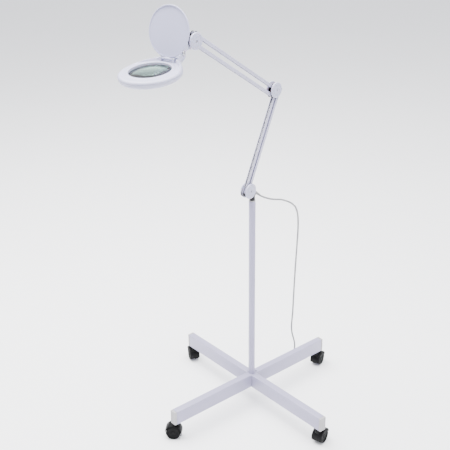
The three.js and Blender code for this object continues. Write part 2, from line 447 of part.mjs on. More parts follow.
function tubeAlong(pts, r, steps, sides) {
  const curve = new THREE.CatmullRomCurve3(pts, false, 'centripetal');
  const sec = new THREE.Shape();
  for (let i = 0; i < sides; i++) { const a = 2 * Math.PI * i / sides; i ? sec.lineTo(r * Math.cos(a), r * Math.sin(a)) : sec.moveTo(r * Math.cos(a), r * Math.sin(a)); }
  return solid(new THREE.ExtrudeGeometry(sec, { steps, bevelEnabled: false, extrudePath: curve }));
}
{
  // one smooth line through both stretches, parted where the upper one stops riding with the bracket
  const all = smooth([...UPPER_ROUTE, ...LOWER_ROUTE.slice(1)], 240);
  let k = 0;
  const split = new THREE.Vector3(...LOWER_ROUTE[0]);
  all.forEach((p, i) => { if (p.distanceTo(split) < all[k].distanceTo(split)) k = i; });
  const pick = (i0, i1, step) => { const o = []; for (let i = i0; i < i1; i += step) o.push(all[i]); o.push(all[i1]); return o; };
  const first = pick(0, k, 4), second = pick(k, all.length - 1, 4);
  const t = second[1].clone().sub(second[0]).normalize();
  second[0] = second[0].clone().addScaledVector(t, GAP + 0.1);
  mesh('cord_upper', tubeAlong(first, CORD_R, 14, 8), M.cord);
  mesh('cord_drop', tubeAlong(second, CORD_R, 52, 8), M.cord);
}
mesh('strain_relief', alongCord(cyl('z', 4.8, OUTLET_S + GAP, OUTLET_S + GAP + RELIEF_LEN, 0, 0, 16, 3.6)), M.cord);
{
  const g = new THREE.Group();
  g.position.set(...fl((HANK.r0 + HANK.r1) / 2, HANK.o, HANK.z0));
  g.rotation.z = (180 + BASE_YAW) * RAD;
  root.add(g);
  const R = HANK.w / 2, a = (HANK.r1 - HANK.r0) / 2 - R;
  const o = new THREE.Shape();
  o.moveTo(-a, -R); o.lineTo(a, -R); o.absarc(a, 0, R, -Math.PI / 2, Math.PI / 2); o.lineTo(-a, R); o.absarc(-a, 0, R, Math.PI / 2, 1.5 * Math.PI);
  mesh('cord_hank', solid(new THREE.ExtrudeGeometry(o, { depth: HANK.h, bevelEnabled: false, curveSegments: 8 })), M.cord, g);
  // tail to the plug, and a flat two-pin plug lying on the floor
  const p = new THREE.Group();
  p.position.set(...fl(117.8, 68, 0));
  p.rotation.z = BASE_YAW * RAD;
  root.add(p);
  mesh('cord_tail', tubeAlong([[0, 0, 3.6], [7, 0, 4.3], [14, 0, 6.6], [20, 0, 7.2]].map(q => new THREE.Vector3(...q)), CORD_R, 4, 8), M.cord, p);
  const body = new THREE.Shape([[20 + GAP, -4.4], [34, -5.6], [41, -12.5], [45, -14], [56, -14], [56, 14], [45, 14], [41, 12.5], [34, 5.6], [20 + GAP, 4.4]].map(q => new THREE.Vector2(...q)));
  let plug = solid(new THREE.ExtrudeGeometry(body, { depth: 11.4, bevelEnabled: true, bevelThickness: 1.1, bevelSize: 1.1, bevelOffset: -1.1, bevelSegments: 1 }), at(0, 0, 1.5));
  plug = join(plug, cyl('x', 2, 54, 75, 9.3, 7.2, 12), cyl('x', 2, 54, 75, -9.3, 7.2, 12));
  mesh('mains_plug', plug, M.plug, p);
}
root.position.set(POLE_X, POLE_Y, 0);
export default root;
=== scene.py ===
# Floor-standing magnifying lamp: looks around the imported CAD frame.
import bpy, bmesh, math
import numpy as np
from mathutils import Matrix, Vector
from mathutils.geometry import convex_hull_2d


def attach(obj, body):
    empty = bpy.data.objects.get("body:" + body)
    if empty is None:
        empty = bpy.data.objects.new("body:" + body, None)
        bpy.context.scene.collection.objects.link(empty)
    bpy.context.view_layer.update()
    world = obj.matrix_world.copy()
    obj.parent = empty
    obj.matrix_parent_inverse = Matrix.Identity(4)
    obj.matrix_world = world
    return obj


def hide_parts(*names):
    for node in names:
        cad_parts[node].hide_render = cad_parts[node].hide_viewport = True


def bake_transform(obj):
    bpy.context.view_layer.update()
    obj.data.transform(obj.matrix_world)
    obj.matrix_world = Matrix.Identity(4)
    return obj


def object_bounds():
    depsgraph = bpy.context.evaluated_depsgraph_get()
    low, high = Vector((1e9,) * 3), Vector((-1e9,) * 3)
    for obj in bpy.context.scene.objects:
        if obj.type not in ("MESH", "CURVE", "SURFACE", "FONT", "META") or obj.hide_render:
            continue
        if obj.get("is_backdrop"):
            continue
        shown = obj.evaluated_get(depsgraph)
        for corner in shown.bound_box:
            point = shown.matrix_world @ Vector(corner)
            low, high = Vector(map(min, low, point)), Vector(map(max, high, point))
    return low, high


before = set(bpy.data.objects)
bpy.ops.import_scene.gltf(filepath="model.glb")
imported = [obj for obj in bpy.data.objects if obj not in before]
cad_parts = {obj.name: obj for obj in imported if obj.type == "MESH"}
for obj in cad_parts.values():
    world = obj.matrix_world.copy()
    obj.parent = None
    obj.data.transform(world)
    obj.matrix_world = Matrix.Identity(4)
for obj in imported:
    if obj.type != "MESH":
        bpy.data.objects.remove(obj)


def plain(b):
    return [[float(v) for v in p] for p in b] if hasattr(b[0], "__len__") else [float(v) for v in b]


CAD_BOX = plain(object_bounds())
RAD = math.pi / 180
POLE_X, POLE_Y = -73.306, 12.707            # pole axis from the frame's origin, mm
MM = Matrix.Scale(0.001, 4) @ Matrix.Translation((POLE_X, POLE_Y, 0))

# ------------------------------------------------------------------ camera
R2 = Vector((-0.6661, 0.7458, -0.0097)); FWD = Vector((-0.6778, -0.6106, -0.4096)).normalized()
R2 = (R2 - FWD * R2.dot(FWD)).normalized(); U2 = R2.cross(FWD)
cam = bpy.data.cameras.new("cam"); cam.lens = 67.68; cam.sensor_width = 36; cam.clip_end = 100
cam_o = bpy.data.objects.new("cam", cam); bpy.context.collection.objects.link(cam_o)
m = Matrix.Identity(4)
for i in range(3):
    m[i][0], m[i][1], m[i][2] = R2[i], U2[i], -FWD[i]
    m[i][3] = (1.9347 + POLE_X / 1000, 1.6234 + POLE_Y / 1000, 1.8189)[i]
cam_o.matrix_world = m
bpy.context.scene.camera = cam_o

# ------------------------------------------------------------------ mesh helpers (millimetres until placed)


def T(x=0, y=0, z=0): return Matrix.Translation((x, y, z))
def Rx(a): return Matrix.Rotation(a * RAD, 4, "X")
def Ry(a): return Matrix.Rotation(a * RAD, 4, "Y")
def Rz(a): return Matrix.Rotation(a * RAD, 4, "Z")


def raw(name, verts, faces):
    me = bpy.data.meshes.new(name)
    me.from_pydata([tuple(v) for v in verts], [], faces)
    me.validate()
    o = bpy.data.objects.new(name, me)
    bpy.context.collection.objects.link(o)
    return o


def fix(o):
    bm = bmesh.new(); bm.from_mesh(o.data)
    bmesh.ops.remove_doubles(bm, verts=bm.verts, dist=1e-5)
    bmesh.ops.recalc_face_normals(bm, faces=bm.faces)
    bm.to_mesh(o.data); bm.free()
    return o


def applied(o):
    dg = bpy.context.evaluated_depsgraph_get()
    me = bpy.data.meshes.new_from_object(o.evaluated_get(dg))
    old = o.data
    o.modifiers.clear(); o.data = me; me.name = o.name
    bpy.data.meshes.remove(old)
    return o


def combine(o, others, op):
    for c in others:
        md = o.modifiers.new("b", "BOOLEAN"); md.operation = op; md.solver = "EXACT"; md.object = c
        applied(o)
        bpy.data.objects.remove(c, do_unlink=True)
    return o


def cut(o, *c): return combine(o, c, "DIFFERENCE")
def add(o, *c): return combine(o, c, "UNION")
def meet(o, *c): return combine(o, c, "INTERSECT")


def bevel(o, width, seg=3, angle=35):
    md = o.modifiers.new("v", "BEVEL"); md.width = width; md.segments = seg
    md.limit_method = "ANGLE"; md.angle_limit = angle * RAD; md.harden_normals = False
    md.use_clamp_overlap = True
    return applied(o)


def fil(pts, r=1.0, n=4, closed=True):
    """round the corners of a 2D polyline; a point may carry its own radius"""
    out = []; N = len(pts)
    for i, p in enumerate(pts):
        rr = p[2] if len(p) > 2 else r
        if rr <= 0 or (not closed and i in (0, N - 1)):
            out.append((p[0], p[1])); continue
        a = Vector(pts[(i - 1) % N][:2]) - Vector(p[:2]); b = Vector(pts[(i + 1) % N][:2]) - Vector(p[:2])
        la, lb = a.length, b.length
        if la < 1e-9 or lb < 1e-9: continue
        a /= la; b /= lb
        cosv = max(-1, min(1, a.dot(b))); half = math.acos(cosv) / 2
        if half > math.pi / 2 - 0.02: out.append((p[0], p[1])); continue
        t = min(rr / math.tan(half), la * 0.48, lb * 0.48); re = t * math.tan(half)
        c = Vector(p[:2]) + (a + b).normalized() * (re / math.sin(half))
        s = Vector(p[:2]) + a * t - c; e = Vector(p[:2]) + b * t - c
        a0 = math.atan2(s.y, s.x); da = math.atan2(e.y, e.x) - a0
        while da > math.pi: da -= 2 * math.pi
        while da < -math.pi: da += 2 * math.pi
        for k in range(n + 1):
            q = a0 + da * k / n
            out.append((c.x + re * math.cos(q), c.y + re * math.sin(q)))
    return out


def lathe(name, prof, seg=96, closed=None, phase=0.0):
    """revolve (r, z) about Z; a profile that starts and ends on the axis is capped by its poles"""
    onaxis = prof[0][0] < 1e-6 and prof[-1][0] < 1e-6
    V, F, rows = [], [], []
    for r, z in prof:
        if r < 1e-6: rows.append([len(V)] * seg); V.append((0, 0, z))
        else:
            rows.append(list(range(len(V), len(V) + seg)))
            V += [(r * math.cos(2 * math.pi * (k + phase) / seg), r * math.sin(2 * math.pi * (k + phase) / seg), z) for k in range(seg)]
    n = len(prof)
    for i in range(n - 1 if onaxis else n):
        a, b = rows[i], rows[(i + 1) % n]
        for k in range(seg):
            q = [a[k], a[(k + 1) % seg], b[(k + 1) % seg], b[k]]
            u = []
            for v in q:
                if v not in u: u.append(v)
            if len(u) > 2: F.append(u)
    return fix(raw(name, V, F))


def prism(name, outline, z0, z1):
    """outline in XY pulled from z0 to z1"""
    n = len(outline)
    V = [(x, y, z0) for x, y in outline] + [(x, y, z1) for x, y in outline]
    F = [list(range(n))[::-1], list(range(n, 2 * n))] + [[i, (i + 1) % n, n + (i + 1) % n, n + i] for i in range(n)]
    return fix(raw(name, V, F))


def moved(o, mat):
    o.data.transform(mat)
    if mat.to_3x3().determinant() < 0: o.data.flip_normals()
    return o


XZ = Matrix(((1, 0, 0, 0), (0, 0, -1, 0), (0, 1, 0, 0), (0, 0, 0, 1)))       # prism XY,Z -> XZ plane, depth along -Y
def plateXZ(name, outline, y0, y1): return moved(prism(name, outline, -y1, -y0), XZ)
def boxo(x0, x1, y0, y1, z0, z1): return prism("box", [(x0, y0), (x1, y0), (x1, y1), (x0, y1)], z0, z1)
def cylY(r, y0, y1, x, z, seg=48, name="cyl"): return moved(lathe(name, [(0, y0), (r, y0), (r, y1), (0, y1)], seg), T(x, 0, z) @ Rx(-90))
def cylZ(r, z0, z1, x=0, y=0, seg=48, name="cyl"): return moved(lathe(name, [(0, z0), (r, z0), (r, z1), (0, z1)], seg), T(x, y, 0))
def cylX(r, x0, x1, y=0, z=0, seg=48, name="cyl"): return moved(lathe(name, [(0, x0), (r, x0), (r, x1), (0, x1)], seg), T(0, y, z) @ Ry(90))


def hull(circles, n=64):
    pts = [Vector((x + r * math.cos(2 * math.pi * k / n), z + r * math.sin(2 * math.pi * k / n))) for x, z, r in circles for k in range(n)]
    return [tuple(pts[i]) for i in convex_hull_2d(pts)]


def rrect(hx, hy, r, n=5): return fil([(-hx, -hy), (hx, -hy), (hx, hy), (-hx, hy)], r, n)


def sweep(name, path, r, sides=16, caps=True):
    """round tube along points, with frames carried along the line"""
    P = [Vector(p) for p in path]; n = len(P)
    V, F = [], []
    t0 = (P[1] - P[0]).normalized()
    u = t0.orthogonal().normalized(); prev = t0
    for i, p in enumerate(P):
        t = (P[min(i + 1, n - 1)] - P[max(i - 1, 0)]).normalized()
        u = prev.rotation_difference(t) @ u; u = (u - t * u.dot(t)).normalized(); w = t.cross(u); prev = t
        rr = r[i] if isinstance(r, (list, tuple)) else r
        V += [p + (u * math.cos(2 * math.pi * k / sides) + w * math.sin(2 * math.pi * k / sides)) * rr for k in range(sides)]
    for i in range(n - 1):
        for k in range(sides):
            F.append([i * sides + k, i * sides + (k + 1) % sides, (i + 1) * sides + (k + 1) % sides, (i + 1) * sides + k])
    if caps: F += [list(range(sides))[::-1], list(range((n - 1) * sides, n * sides))]
    return raw(name, V, F)


def put(o, name, body, mat, place=Matrix.Identity(4), slot=None, smooth=32, nodes=(), ride=True):
    o.name = name; o.data.name = name
    moved(o, MM @ place)
    for p in o.data.polygons: p.use_smooth = True
    o.data.set_sharp_from_angle(angle=smooth * RAD)
    if mat is not None:
        o.data.materials.clear(); o.data.materials.append(mat)
    if ride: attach(o, body)
    if nodes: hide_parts(*nodes)
    return o


def put2(o, name, body, mats, pick, **kw):
    """a piece with two materials: pick(face centre in local mm) gives the slot"""
    idx = [pick(p.center.copy(), p.normal.copy()) for p in o.data.polygons]
    put(o, name, body, None, **kw)
    o.data.materials.clear()
    for mt in mats: o.data.materials.append(mt)
    for p, i in zip(o.data.polygons, idx): p.material_index = i
    return o


# ------------------------------------------------------------------ materials


def material(name, color, rough=0.45, metallic=0.0, vary=0.06, scale=9.0, bump=0.02, bump_scale=900.0, bump_dist=0.0004,
             rough_var=0.08, coat=0.0, coat_rough=0.2, wear=None, dust=None, spec=0.5, streak=None, **sockets):
    mt = bpy.data.materials.new(name); mt.use_nodes = True
    nt = mt.node_tree; N = nt.nodes; L = nt.links
    b = N["Principled BSDF"]
    b.inputs["Metallic"].default_value = metallic
    b.inputs["Specular IOR Level"].default_value = spec
    b.inputs["Coat Weight"].default_value = coat; b.inputs["Coat Roughness"].default_value = coat_rough
    for k, v in sockets.items(): b.inputs[k.replace("_", " ")].default_value = v
    tc = N.new("ShaderNodeTexCoord")
    big = N.new("ShaderNodeTexNoise"); big.inputs["Scale"].default_value = scale; big.inputs["Detail"].default_value = 5
    L.new(tc.outputs["Object"], big.inputs["Vector"])
    ramp = N.new("ShaderNodeValToRGB")
    c0 = [max(0, c * (1 - vary)) for c in color]; c1 = [min(1, c * (1 + vary * 0.6)) for c in color]
    ramp.color_ramp.elements[0].position = 0.32; ramp.color_ramp.elements[1].position = 0.68
    ramp.color_ramp.elements[0].color = (*c0, 1); ramp.color_ramp.elements[1].color = (*c1, 1)
    L.new(big.outputs["Fac"], ramp.inputs["Fac"])
    col = ramp.outputs["Color"]

    def mixc(fac, a, bcol):
        mx = N.new("ShaderNodeMix"); mx.data_type = "RGBA"
        L.new(fac, mx.inputs["Factor"]); L.new(a, mx.inputs["A"]); mx.inputs["B"].default_value = (*bcol, 1)
        return mx.outputs["Result"]

    if wear:     # worn edges: pointiness picks the convex edges, broken up by noise
        g = N.new("ShaderNodeNewGeometry"); r1 = N.new("ShaderNodeMapRange")
        r1.inputs["From Min"].default_value = 0.53; r1.inputs["From Max"].default_value = 0.62; r1.inputs["To Max"].default_value = wear[1]
        L.new(g.outputs["Pointiness"], r1.inputs["Value"])
        wn = N.new("ShaderNodeTexNoise"); wn.inputs["Scale"].default_value = 140; wn.inputs["Detail"].default_value = 6
        L.new(tc.outputs["Object"], wn.inputs["Vector"])
        mu = N.new("ShaderNodeMath"); mu.operation = "MULTIPLY"; L.new(r1.outputs["Result"], mu.inputs[0]); L.new(wn.outputs["Fac"], mu.inputs[1])
        col = mixc(mu.outputs["Value"], col, wear[0])
    if dust:     # faint settled dust near the floor or on upward faces
        g2 = N.new("ShaderNodeNewGeometry"); sx = N.new("ShaderNodeSeparateXYZ"); L.new(g2.outputs["Normal"], sx.inputs["Vector"])
        r2 = N.new("ShaderNodeMapRange"); r2.inputs["From Min"].default_value = 0.3; r2.inputs["From Max"].default_value = 1.0; r2.inputs["To Max"].default_value = dust[1]
        L.new(sx.outputs["Z"], r2.inputs["Value"])
        dn = N.new("ShaderNodeTexNoise"); dn.inputs["Scale"].default_value = 60; dn.inputs["Detail"].default_value = 8; L.new(tc.outputs["Object"], dn.inputs["Vector"])
        mu = N.new("ShaderNodeMath"); mu.operation = "MULTIPLY"; L.new(r2.outputs["Result"], mu.inputs[0]); L.new(dn.outputs["Fac"], mu.inputs[1])
        col = mixc(mu.outputs["Value"], col, dust[0])
    L.new(col, b.inputs["Base Color"])
    fine = N.new("ShaderNodeTexNoise"); fine.inputs["Scale"].default_value = bump_scale; fine.inputs["Detail"].default_value = 4
    src = tc.outputs["Object"]
    if streak:   # drawn or brushed direction
        mp = N.new("ShaderNodeMapping"); mp.inputs["Scale"].default_value = streak; L.new(src, mp.inputs["Vector"]); src = mp.outputs["Vector"]
    L.new(src, fine.inputs["Vector"])
    rr = N.new("ShaderNodeMapRange"); rr.inputs["To Min"].default_value = max(0.02, rough - rough_var); rr.inputs["To Max"].default_value = min(1, rough + rough_var)
    rs = N.new("ShaderNodeTexNoise"); rs.inputs["Scale"].default_value = 35; rs.inputs["Detail"].default_value = 6
    L.new(tc.outputs["Object"], rs.inputs["Vector"]); L.new(rs.outputs["Fac"], rr.inputs["Value"]); L.new(rr.outputs["Result"], b.inputs["Roughness"])
    bp = N.new("ShaderNodeBump"); bp.inputs["Strength"].default_value = bump; bp.inputs["Distance"].default_value = bump_dist
    L.new(fine.outputs["Fac"], bp.inputs["Height"]); L.new(bp.outputs["Normal"], b.inputs["Normal"])
    return mt


LAV = (0.285, 0.27, 0.40)
PAINT = material("powder_coat", LAV, 0.36, vary=0.03, scale=6, bump=0.25, bump_scale=700, bump_dist=0.0003, rough_var=0.06,
                 coat=0.15, coat_rough=0.25, wear=((0.50, 0.49, 0.58), 0.5), dust=((0.36, 0.34, 0.38), 0.12))
BAR = material("bar_coat", (0.40, 0.39, 0.52), 0.33, vary=0.03, scale=8, bump=0.2, bump_scale=800, bump_dist=0.0003, coat=0.15, coat_rough=0.2,
               wear=((0.62, 0.62, 0.70), 0.5))
SHELL = material("abs_shell", (0.39, 0.39, 0.52), 0.34, vary=0.02, scale=12, bump=0.12, bump_scale=1500, bump_dist=0.0002, rough_var=0.05,
                 coat=0.1, coat_rough=0.15, Subsurface_Weight=0.04, wear=((0.60, 0.60, 0.70), 0.35))
LIDM = material("abs_lid", (0.40, 0.40, 0.56), 0.30, vary=0.02, scale=10, bump=0.10, bump_scale=1300, bump_dist=0.0002, rough_var=0.05, coat=0.12, coat_rough=0.12)
CAPM = material("cap_moulding", (0.33, 0.32, 0.33), 0.52, vary=0.05, scale=30, bump=0.3, bump_scale=1400, bump_dist=0.0003, dust=((0.36, 0.34, 0.34), 0.15))
NYLON = material("black_nylon", (0.007, 0.007, 0.009), 0.45, spec=0.3, vary=0.25, scale=40, bump=0.35, bump_scale=1200, bump_dist=0.0003, wear=((0.03, 0.03, 0.035), 0.6))
CASTER = material("caster_nylon", (0.0015, 0.0015, 0.002), 0.5, spec=0.12, vary=0.3, scale=50, bump=0.3, bump_scale=1300, bump_dist=0.0003, wear=((0.008, 0.008, 0.009), 0.7),
                  dust=((0.02, 0.019, 0.018), 0.08))
TYRE = material("wheel_nylon", (0.002, 0.002, 0.0025), 0.6, spec=0.12, vary=0.3, scale=60, bump=0.5, bump_scale=600, bump_dist=0.0004, wear=((0.01, 0.01, 0.01), 0.5),
                dust=((0.02, 0.019, 0.018), 0.1))
STEEL = material("zinc_steel", (0.56, 0.57, 0.58), 0.30, 1.0, vary=0.08, scale=60, bump=0.25, bump_scale=500, bump_dist=0.0002, rough_var=0.1, streak=(1, 1, 6))
SPRING = material("spring_wire", (0.42, 0.42, 0.44), 0.28, 1.0, vary=0.12, scale=80, bump=0.2, bump_scale=900, bump_dist=0.0002)
SCREW = material("screw_steel", (0.50, 0.50, 0.52), 0.34, 1.0, vary=0.1, scale=120, bump=0.3, bump_scale=1500, bump_dist=0.0001)
CORD = material("cord_pvc", (0.20, 0.20, 0.21), 0.48, vary=0.06, scale=20, bump=0.3, bump_scale=900, bump_dist=0.0003)
PLUG = material("plug_pvc", (0.46, 0.46, 0.47), 0.42, vary=0.06, scale=30, bump=0.3, bump_scale=1000, bump_dist=0.0003, wear=((0.58, 0.58, 0.58), 0.4))
PINM = material("pin_nickel", (0.66, 0.63, 0.56), 0.22, 1.0, vary=0.06, scale=120, bump=0.15, bump_scale=1500, bump_dist=0.0001)
BOARD = material("led_board", (0.74, 0.75, 0.72), 0.5, vary=0.03, scale=40, bump=0.2, bump_scale=1500, bump_dist=0.0002)
LEDY = material("led_phosphor", (0.80, 0.74, 0.36), 0.3, vary=0.06, scale=200, bump=0.1, bump_scale=2000, bump_dist=0.0001, coat=0.5)
OPAL = material("opal_diffuser", (0.82, 0.83, 0.84), 0.30, vary=0.02, scale=60, bump=0.25, bump_scale=2200, bump_dist=0.0002, Subsurface_Weight=0.25, Transmission_Weight=0.12)
SEAL = material("lens_seal_rubber", (0.27, 0.31, 0.30), 0.6, vary=0.1, scale=90, bump=0.3, bump_scale=1500, bump_dist=0.0002)
# dark green liner colour: painted shade standing in for the shadowed inside of the viewing well
WELL_SHADE = material("painted_shade_liner", (0.006, 0.030, 0.021), 0.6, vary=0.2, scale=90, bump=0.4, bump_scale=1500, bump_dist=0.0003)
BUTTON = material("button_abs", (0.50, 0.51, 0.56), 0.36, vary=0.04, scale=60, bump=0.2, bump_scale=1500, bump_dist=0.0002)


def glass():
    mt = bpy.data.materials.new("lens_glass"); mt.use_nodes = True
    nt = mt.node_tree; N = nt.nodes; L = nt.links; b = N["Principled BSDF"]
    b.inputs["Transmission Weight"].default_value = 1.0; b.inputs["IOR"].default_value = 1.52
    tc = N.new("ShaderNodeTexCoord"); n = N.new("ShaderNodeTexNoise"); n.inputs["Scale"].default_value = 14; n.inputs["Detail"].default_value = 4
    L.new(tc.outputs["Object"], n.inputs["Vector"])
    rp = N.new("ShaderNodeValToRGB"); rp.color_ramp.elements[0].color = (0.17, 0.29, 0.25, 1); rp.color_ramp.elements[1].color = (0.20, 0.33, 0.29, 1)
    L.new(n.outputs["Fac"], rp.inputs["Fac"]); L.new(rp.outputs["Color"], b.inputs["Base Color"])
    sm = N.new("ShaderNodeTexNoise"); sm.inputs["Scale"].default_value = 30; sm.inputs["Detail"].default_value = 8; L.new(tc.outputs["Object"], sm.inputs["Vector"])
    mr = N.new("ShaderNodeMapRange"); mr.inputs["From Min"].default_value = 0.45; mr.inputs["From Max"].default_value = 0.8
    mr.inputs["To Min"].default_value = 0.015; mr.inputs["To Max"].default_value = 0.07
    L.new(sm.outputs["Fac"], mr.inputs["Value"]); L.new(mr.outputs["Result"], b.inputs["Roughness"])
    return mt


GLASS = glass()

# ------------------------------------------------------------------ the part's own numbers
BASE_YAW = -8
BEAM_Z0, BEAM_Z1, HW, END = 62, 112, 12.5, 341.7
CASTER_R, WHEEL_R, WHEEL_W, WHEEL_GAP, TRAIL = 330, 25, 15, 5.2, 16
CASTER_YAW = [315, 195, 200, 245]
def polar(c, r, d): return (c[0] + r * math.cos(d * RAD), c[1] + r * math.sin(d * RAD))
LOW_F, LOW_R = polar((30, 812), -13, 154.5), polar((30, 812), 13, 154.5)
EL_F, EL_R = polar(LOW_F, 330, 116.5), polar(LOW_R, 330, 116.5)
EU_T, EU_B = polar((-92, 1114), 13, 100), polar((-92, 1114), -13, 100)
FR_T, FR_B = polar(EU_T, 410, 32.6), polar(EU_B, 410, 32.6)
LOW_DISC, ELBOW_DISC, FRONT_DISC = (20, 812), (-104, 1116.5), (255, 1328)
HEAD = T(435.3, 13.24, 1281.9) @ Rz(5) @ Ry(7.5)
TILT = (-125, 8)
BASE = Rz(BASE_YAW)

# ------------------------------------------------------------------ cord: outlet, fall, hank behind one leg, plug
OUTLET, DIP = Vector((0, 0, 808)), 38 * RAD
def out_pt(d): return (OUTLET.x - d * math.cos(DIP), 0, OUTLET.z - d * math.sin(DIP))
LEG = Vector((math.cos((180 + BASE_YAW) * RAD), math.sin((180 + BASE_YAW) * RAD), 0)); OFF = Vector((-LEG.y, LEG.x, 0))
def fl(r, o, z): return tuple(LEG * r + OFF * o + Vector((0, 0, z)))
S0 = 15 + 0.3 + 28 + 0.3
ROUTE = [out_pt(S0), out_pt(S0 + 9), (-64, 0, 762), (-100.8, 0, 744.5), (-128, 0, 735), (-150, 0, 727.5), (-173, 0, 716.8), (-193, 0, 705.8), (-211, 0, 694),
         (-236, -2, 671), (-256, -7, 636), (-270, -14, 585), (-279, -23, 510), (-284, -31, 420), (-288, -38, 320), (-292, -44, 220), (-296, -50, 130),
         fl(291, 78, 76), fl(289, 77, 44), fl(277, 73, 24), fl(258, 69, 18), fl(238.4, 68, 17.2)]


def catmull(P, step=4.0):
    """centripetal spline through the points, spaced evenly"""
    P = [np.array(p, float) for p in P]
    P = [2 * P[0] - P[1]] + P + [2 * P[-1] - P[-2]]
    out = []
    for i in range(1, len(P) - 2):
        p0, p1, p2, p3 = P[i - 1:i + 3]
        t0 = 0; t1 = t0 + max(1e-6, np.linalg.norm(p1 - p0)) ** .5; t2 = t1 + max(1e-6, np.linalg.norm(p2 - p1)) ** .5; t3 = t2 + max(1e-6, np.linalg.norm(p3 - p2)) ** .5
        n = max(2, int(np.linalg.norm(p2 - p1) / 1.0))
        for t in np.linspace(t1, t2, n, endpoint=False):
            A1 = (t1 - t) / (t1 - t0) * p0 + (t - t0) / (t1 - t0) * p1; A2 = (t2 - t) / (t2 - t1) * p1 + (t - t1) / (t2 - t1) * p2
            A3 = (t3 - t) / (t3 - t2) * p2 + (t - t2) / (t3 - t2) * p3
            B1 = (t2 - t) / (t2 - t0) * A1 + (t - t0) / (t2 - t0) * A2; B2 = (t3 - t) / (t3 - t1) * A2 + (t - t1) / (t3 - t1) * A3
            out.append((t2 - t) / (t2 - t1) * B1 + (t - t1) / (t2 - t1) * B2)
    out.append(P[-2])
    L = np.concatenate([[0], np.cumsum([np.linalg.norm(b - a) for a, b in zip(out, out[1:])])])
    s = np.linspace(0, L[-1], int(L[-1] / step) + 1)
    A = np.array(out)
    return [tuple(np.interp(v, L, A[:, k]) for k in range(3)) for v in s]


# hank: flat loops, one on another; in through the top layer, out at the bottom towards the pole
A_, R_ = 45.0, 18.0
PER = 4 * A_ + 2 * math.pi * R_
TURNS = 2 + 2 * A_ / PER


def hank_local(s):
    s %= PER
    if s < 2 * A_: return (A_ - s, -R_)
    s -= 2 * A_
    if s < math.pi * R_: q = s / R_; return (-A_ - R_ * math.sin(q), -R_ * math.cos(q))
    s -= math.pi * R_
    if s < 2 * A_: return (-A_ + s, R_)
    q = (s - 2 * A_) / R_
    return (A_ + R_ * math.sin(q), R_ * math.cos(q))


ZTOP, ZBOT = 17.2, 3.42
hank = []
for k in range(1, int(TURNS * PER / 4)):
    s_ = k * 4.0; x, y = hank_local(s_)
    hank.append(fl(178 + x, 86 + y, ZTOP - (ZTOP - ZBOT) * s_ / (TURNS * PER)))
main = catmull(ROUTE, 4.0)
tail = [fl(133 - d, 68, z) for d, z in ((0, 3.42), (7, 3.42), (13, 3.5), (20, 4.3), (27, 6.2), (34, 7.2), (42, 7.2))]
run_in = [fl(r, 68, 17.2) for r in (234, 229, 225)]
cord_path = catmull(main + run_in + hank + tail, 4.0)
cord = sweep("mains_cord", cord_path, 3.0, 14)
put(cord, "mains_cord", "root", CORD, slot="cord_pvc", smooth=60, nodes=("cord_upper", "cord_drop", "cord_hank", "cord_tail"), ride=False)
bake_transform(cord)

# strain relief: ribbed taper
prof = [(0, 0), (4.8, 0), (5.0, 1.2)]
for k in range(6):
    z = 3 + k * 3.9; r_ = 4.85 - k * 0.2
    prof += [(r_, z), (r_, z + 2.2), (r_ - 0.7, z + 2.6), (r_ - 0.7, z + 3.5)]
prof += [(3.75, 26.6), (3.6, 28), (0, 28)]
relief = lathe("strain_relief_boot", fil(prof, 0.25, 2, closed=False), 40)
ALONG = T(*OUTLET) @ Ry(-128)
put(relief, "strain_relief_boot", "swivel", CORD, ALONG @ T(0, 0, 15.3), slot="cord_pvc", smooth=40, nodes=("strain_relief",))

# plug: flat two-pin body on the floor
PL = T(*fl(117.8, 68, 0)) @ Rz(BASE_YAW)
body = fil([(20.3, -4.3), (33, -5.2), (41, -12.4), (45, -13.9), (56, -13.9), (56, 13.9), (45, 13.9), (41, 12.4), (33, 5.2), (20.3, 4.3)], 3.0, 4)
plug = bevel(prism("plug", body, 0.45, 13.9), 2.2, 4)
for x in (23, 26.5, 30):
    cut(plug, boxo(x, x + 1.3, -9, 9, 11.9, 16), boxo(x, x + 1.3, -9, 9, -1, 2.4))
cut(plug, plateXZ("g", [(47, 13.1), (53, 13.1), (53, 15), (47, 15)], -8, 8))
bevel(plug, 0.25, 2)
for yy in (-9.3, 9.3):
    add(plug, lathe_x := moved(lathe("pin", fil([(0, 54), (2.35, 54), (2.35, 62), (2.0, 62.6), (2.0, 73.6), (1.2, 75), (0, 75)], 0.3, 2, closed=False), 28), T(0, yy, 7.2) @ Ry(90)))
put2(plug, "mains_plug_body", "root", [PLUG, PINM], lambda c, n: 1 if c.x > 62.4 else 0, place=PL, slot="plug_pvc", nodes=("mains_plug",))

# ------------------------------------------------------------------ base


def along_x(name, outline, x0, x1):
    """outline (y, z) pulled along X"""
    return moved(prism(name, outline, x0, x1), Matrix(((0, 0, 1, 0), (1, 0, 0, 0), (0, 1, 0, 0), (0, 0, 0, 1))))


ZC = (BEAM_Z0 + BEAM_Z1) / 2
def beam(name, x0, x1):
    o = along_x(name, [(y, z + ZC) for y, z in rrect(HW, 25, 2.6, 6)], x0, x1)
    return cut(o, along_x("in", [(y, z + ZC) for y, z in rrect(HW - 1.5, 23.5, 1.2, 3)], x0 - 2, x1 + 2))


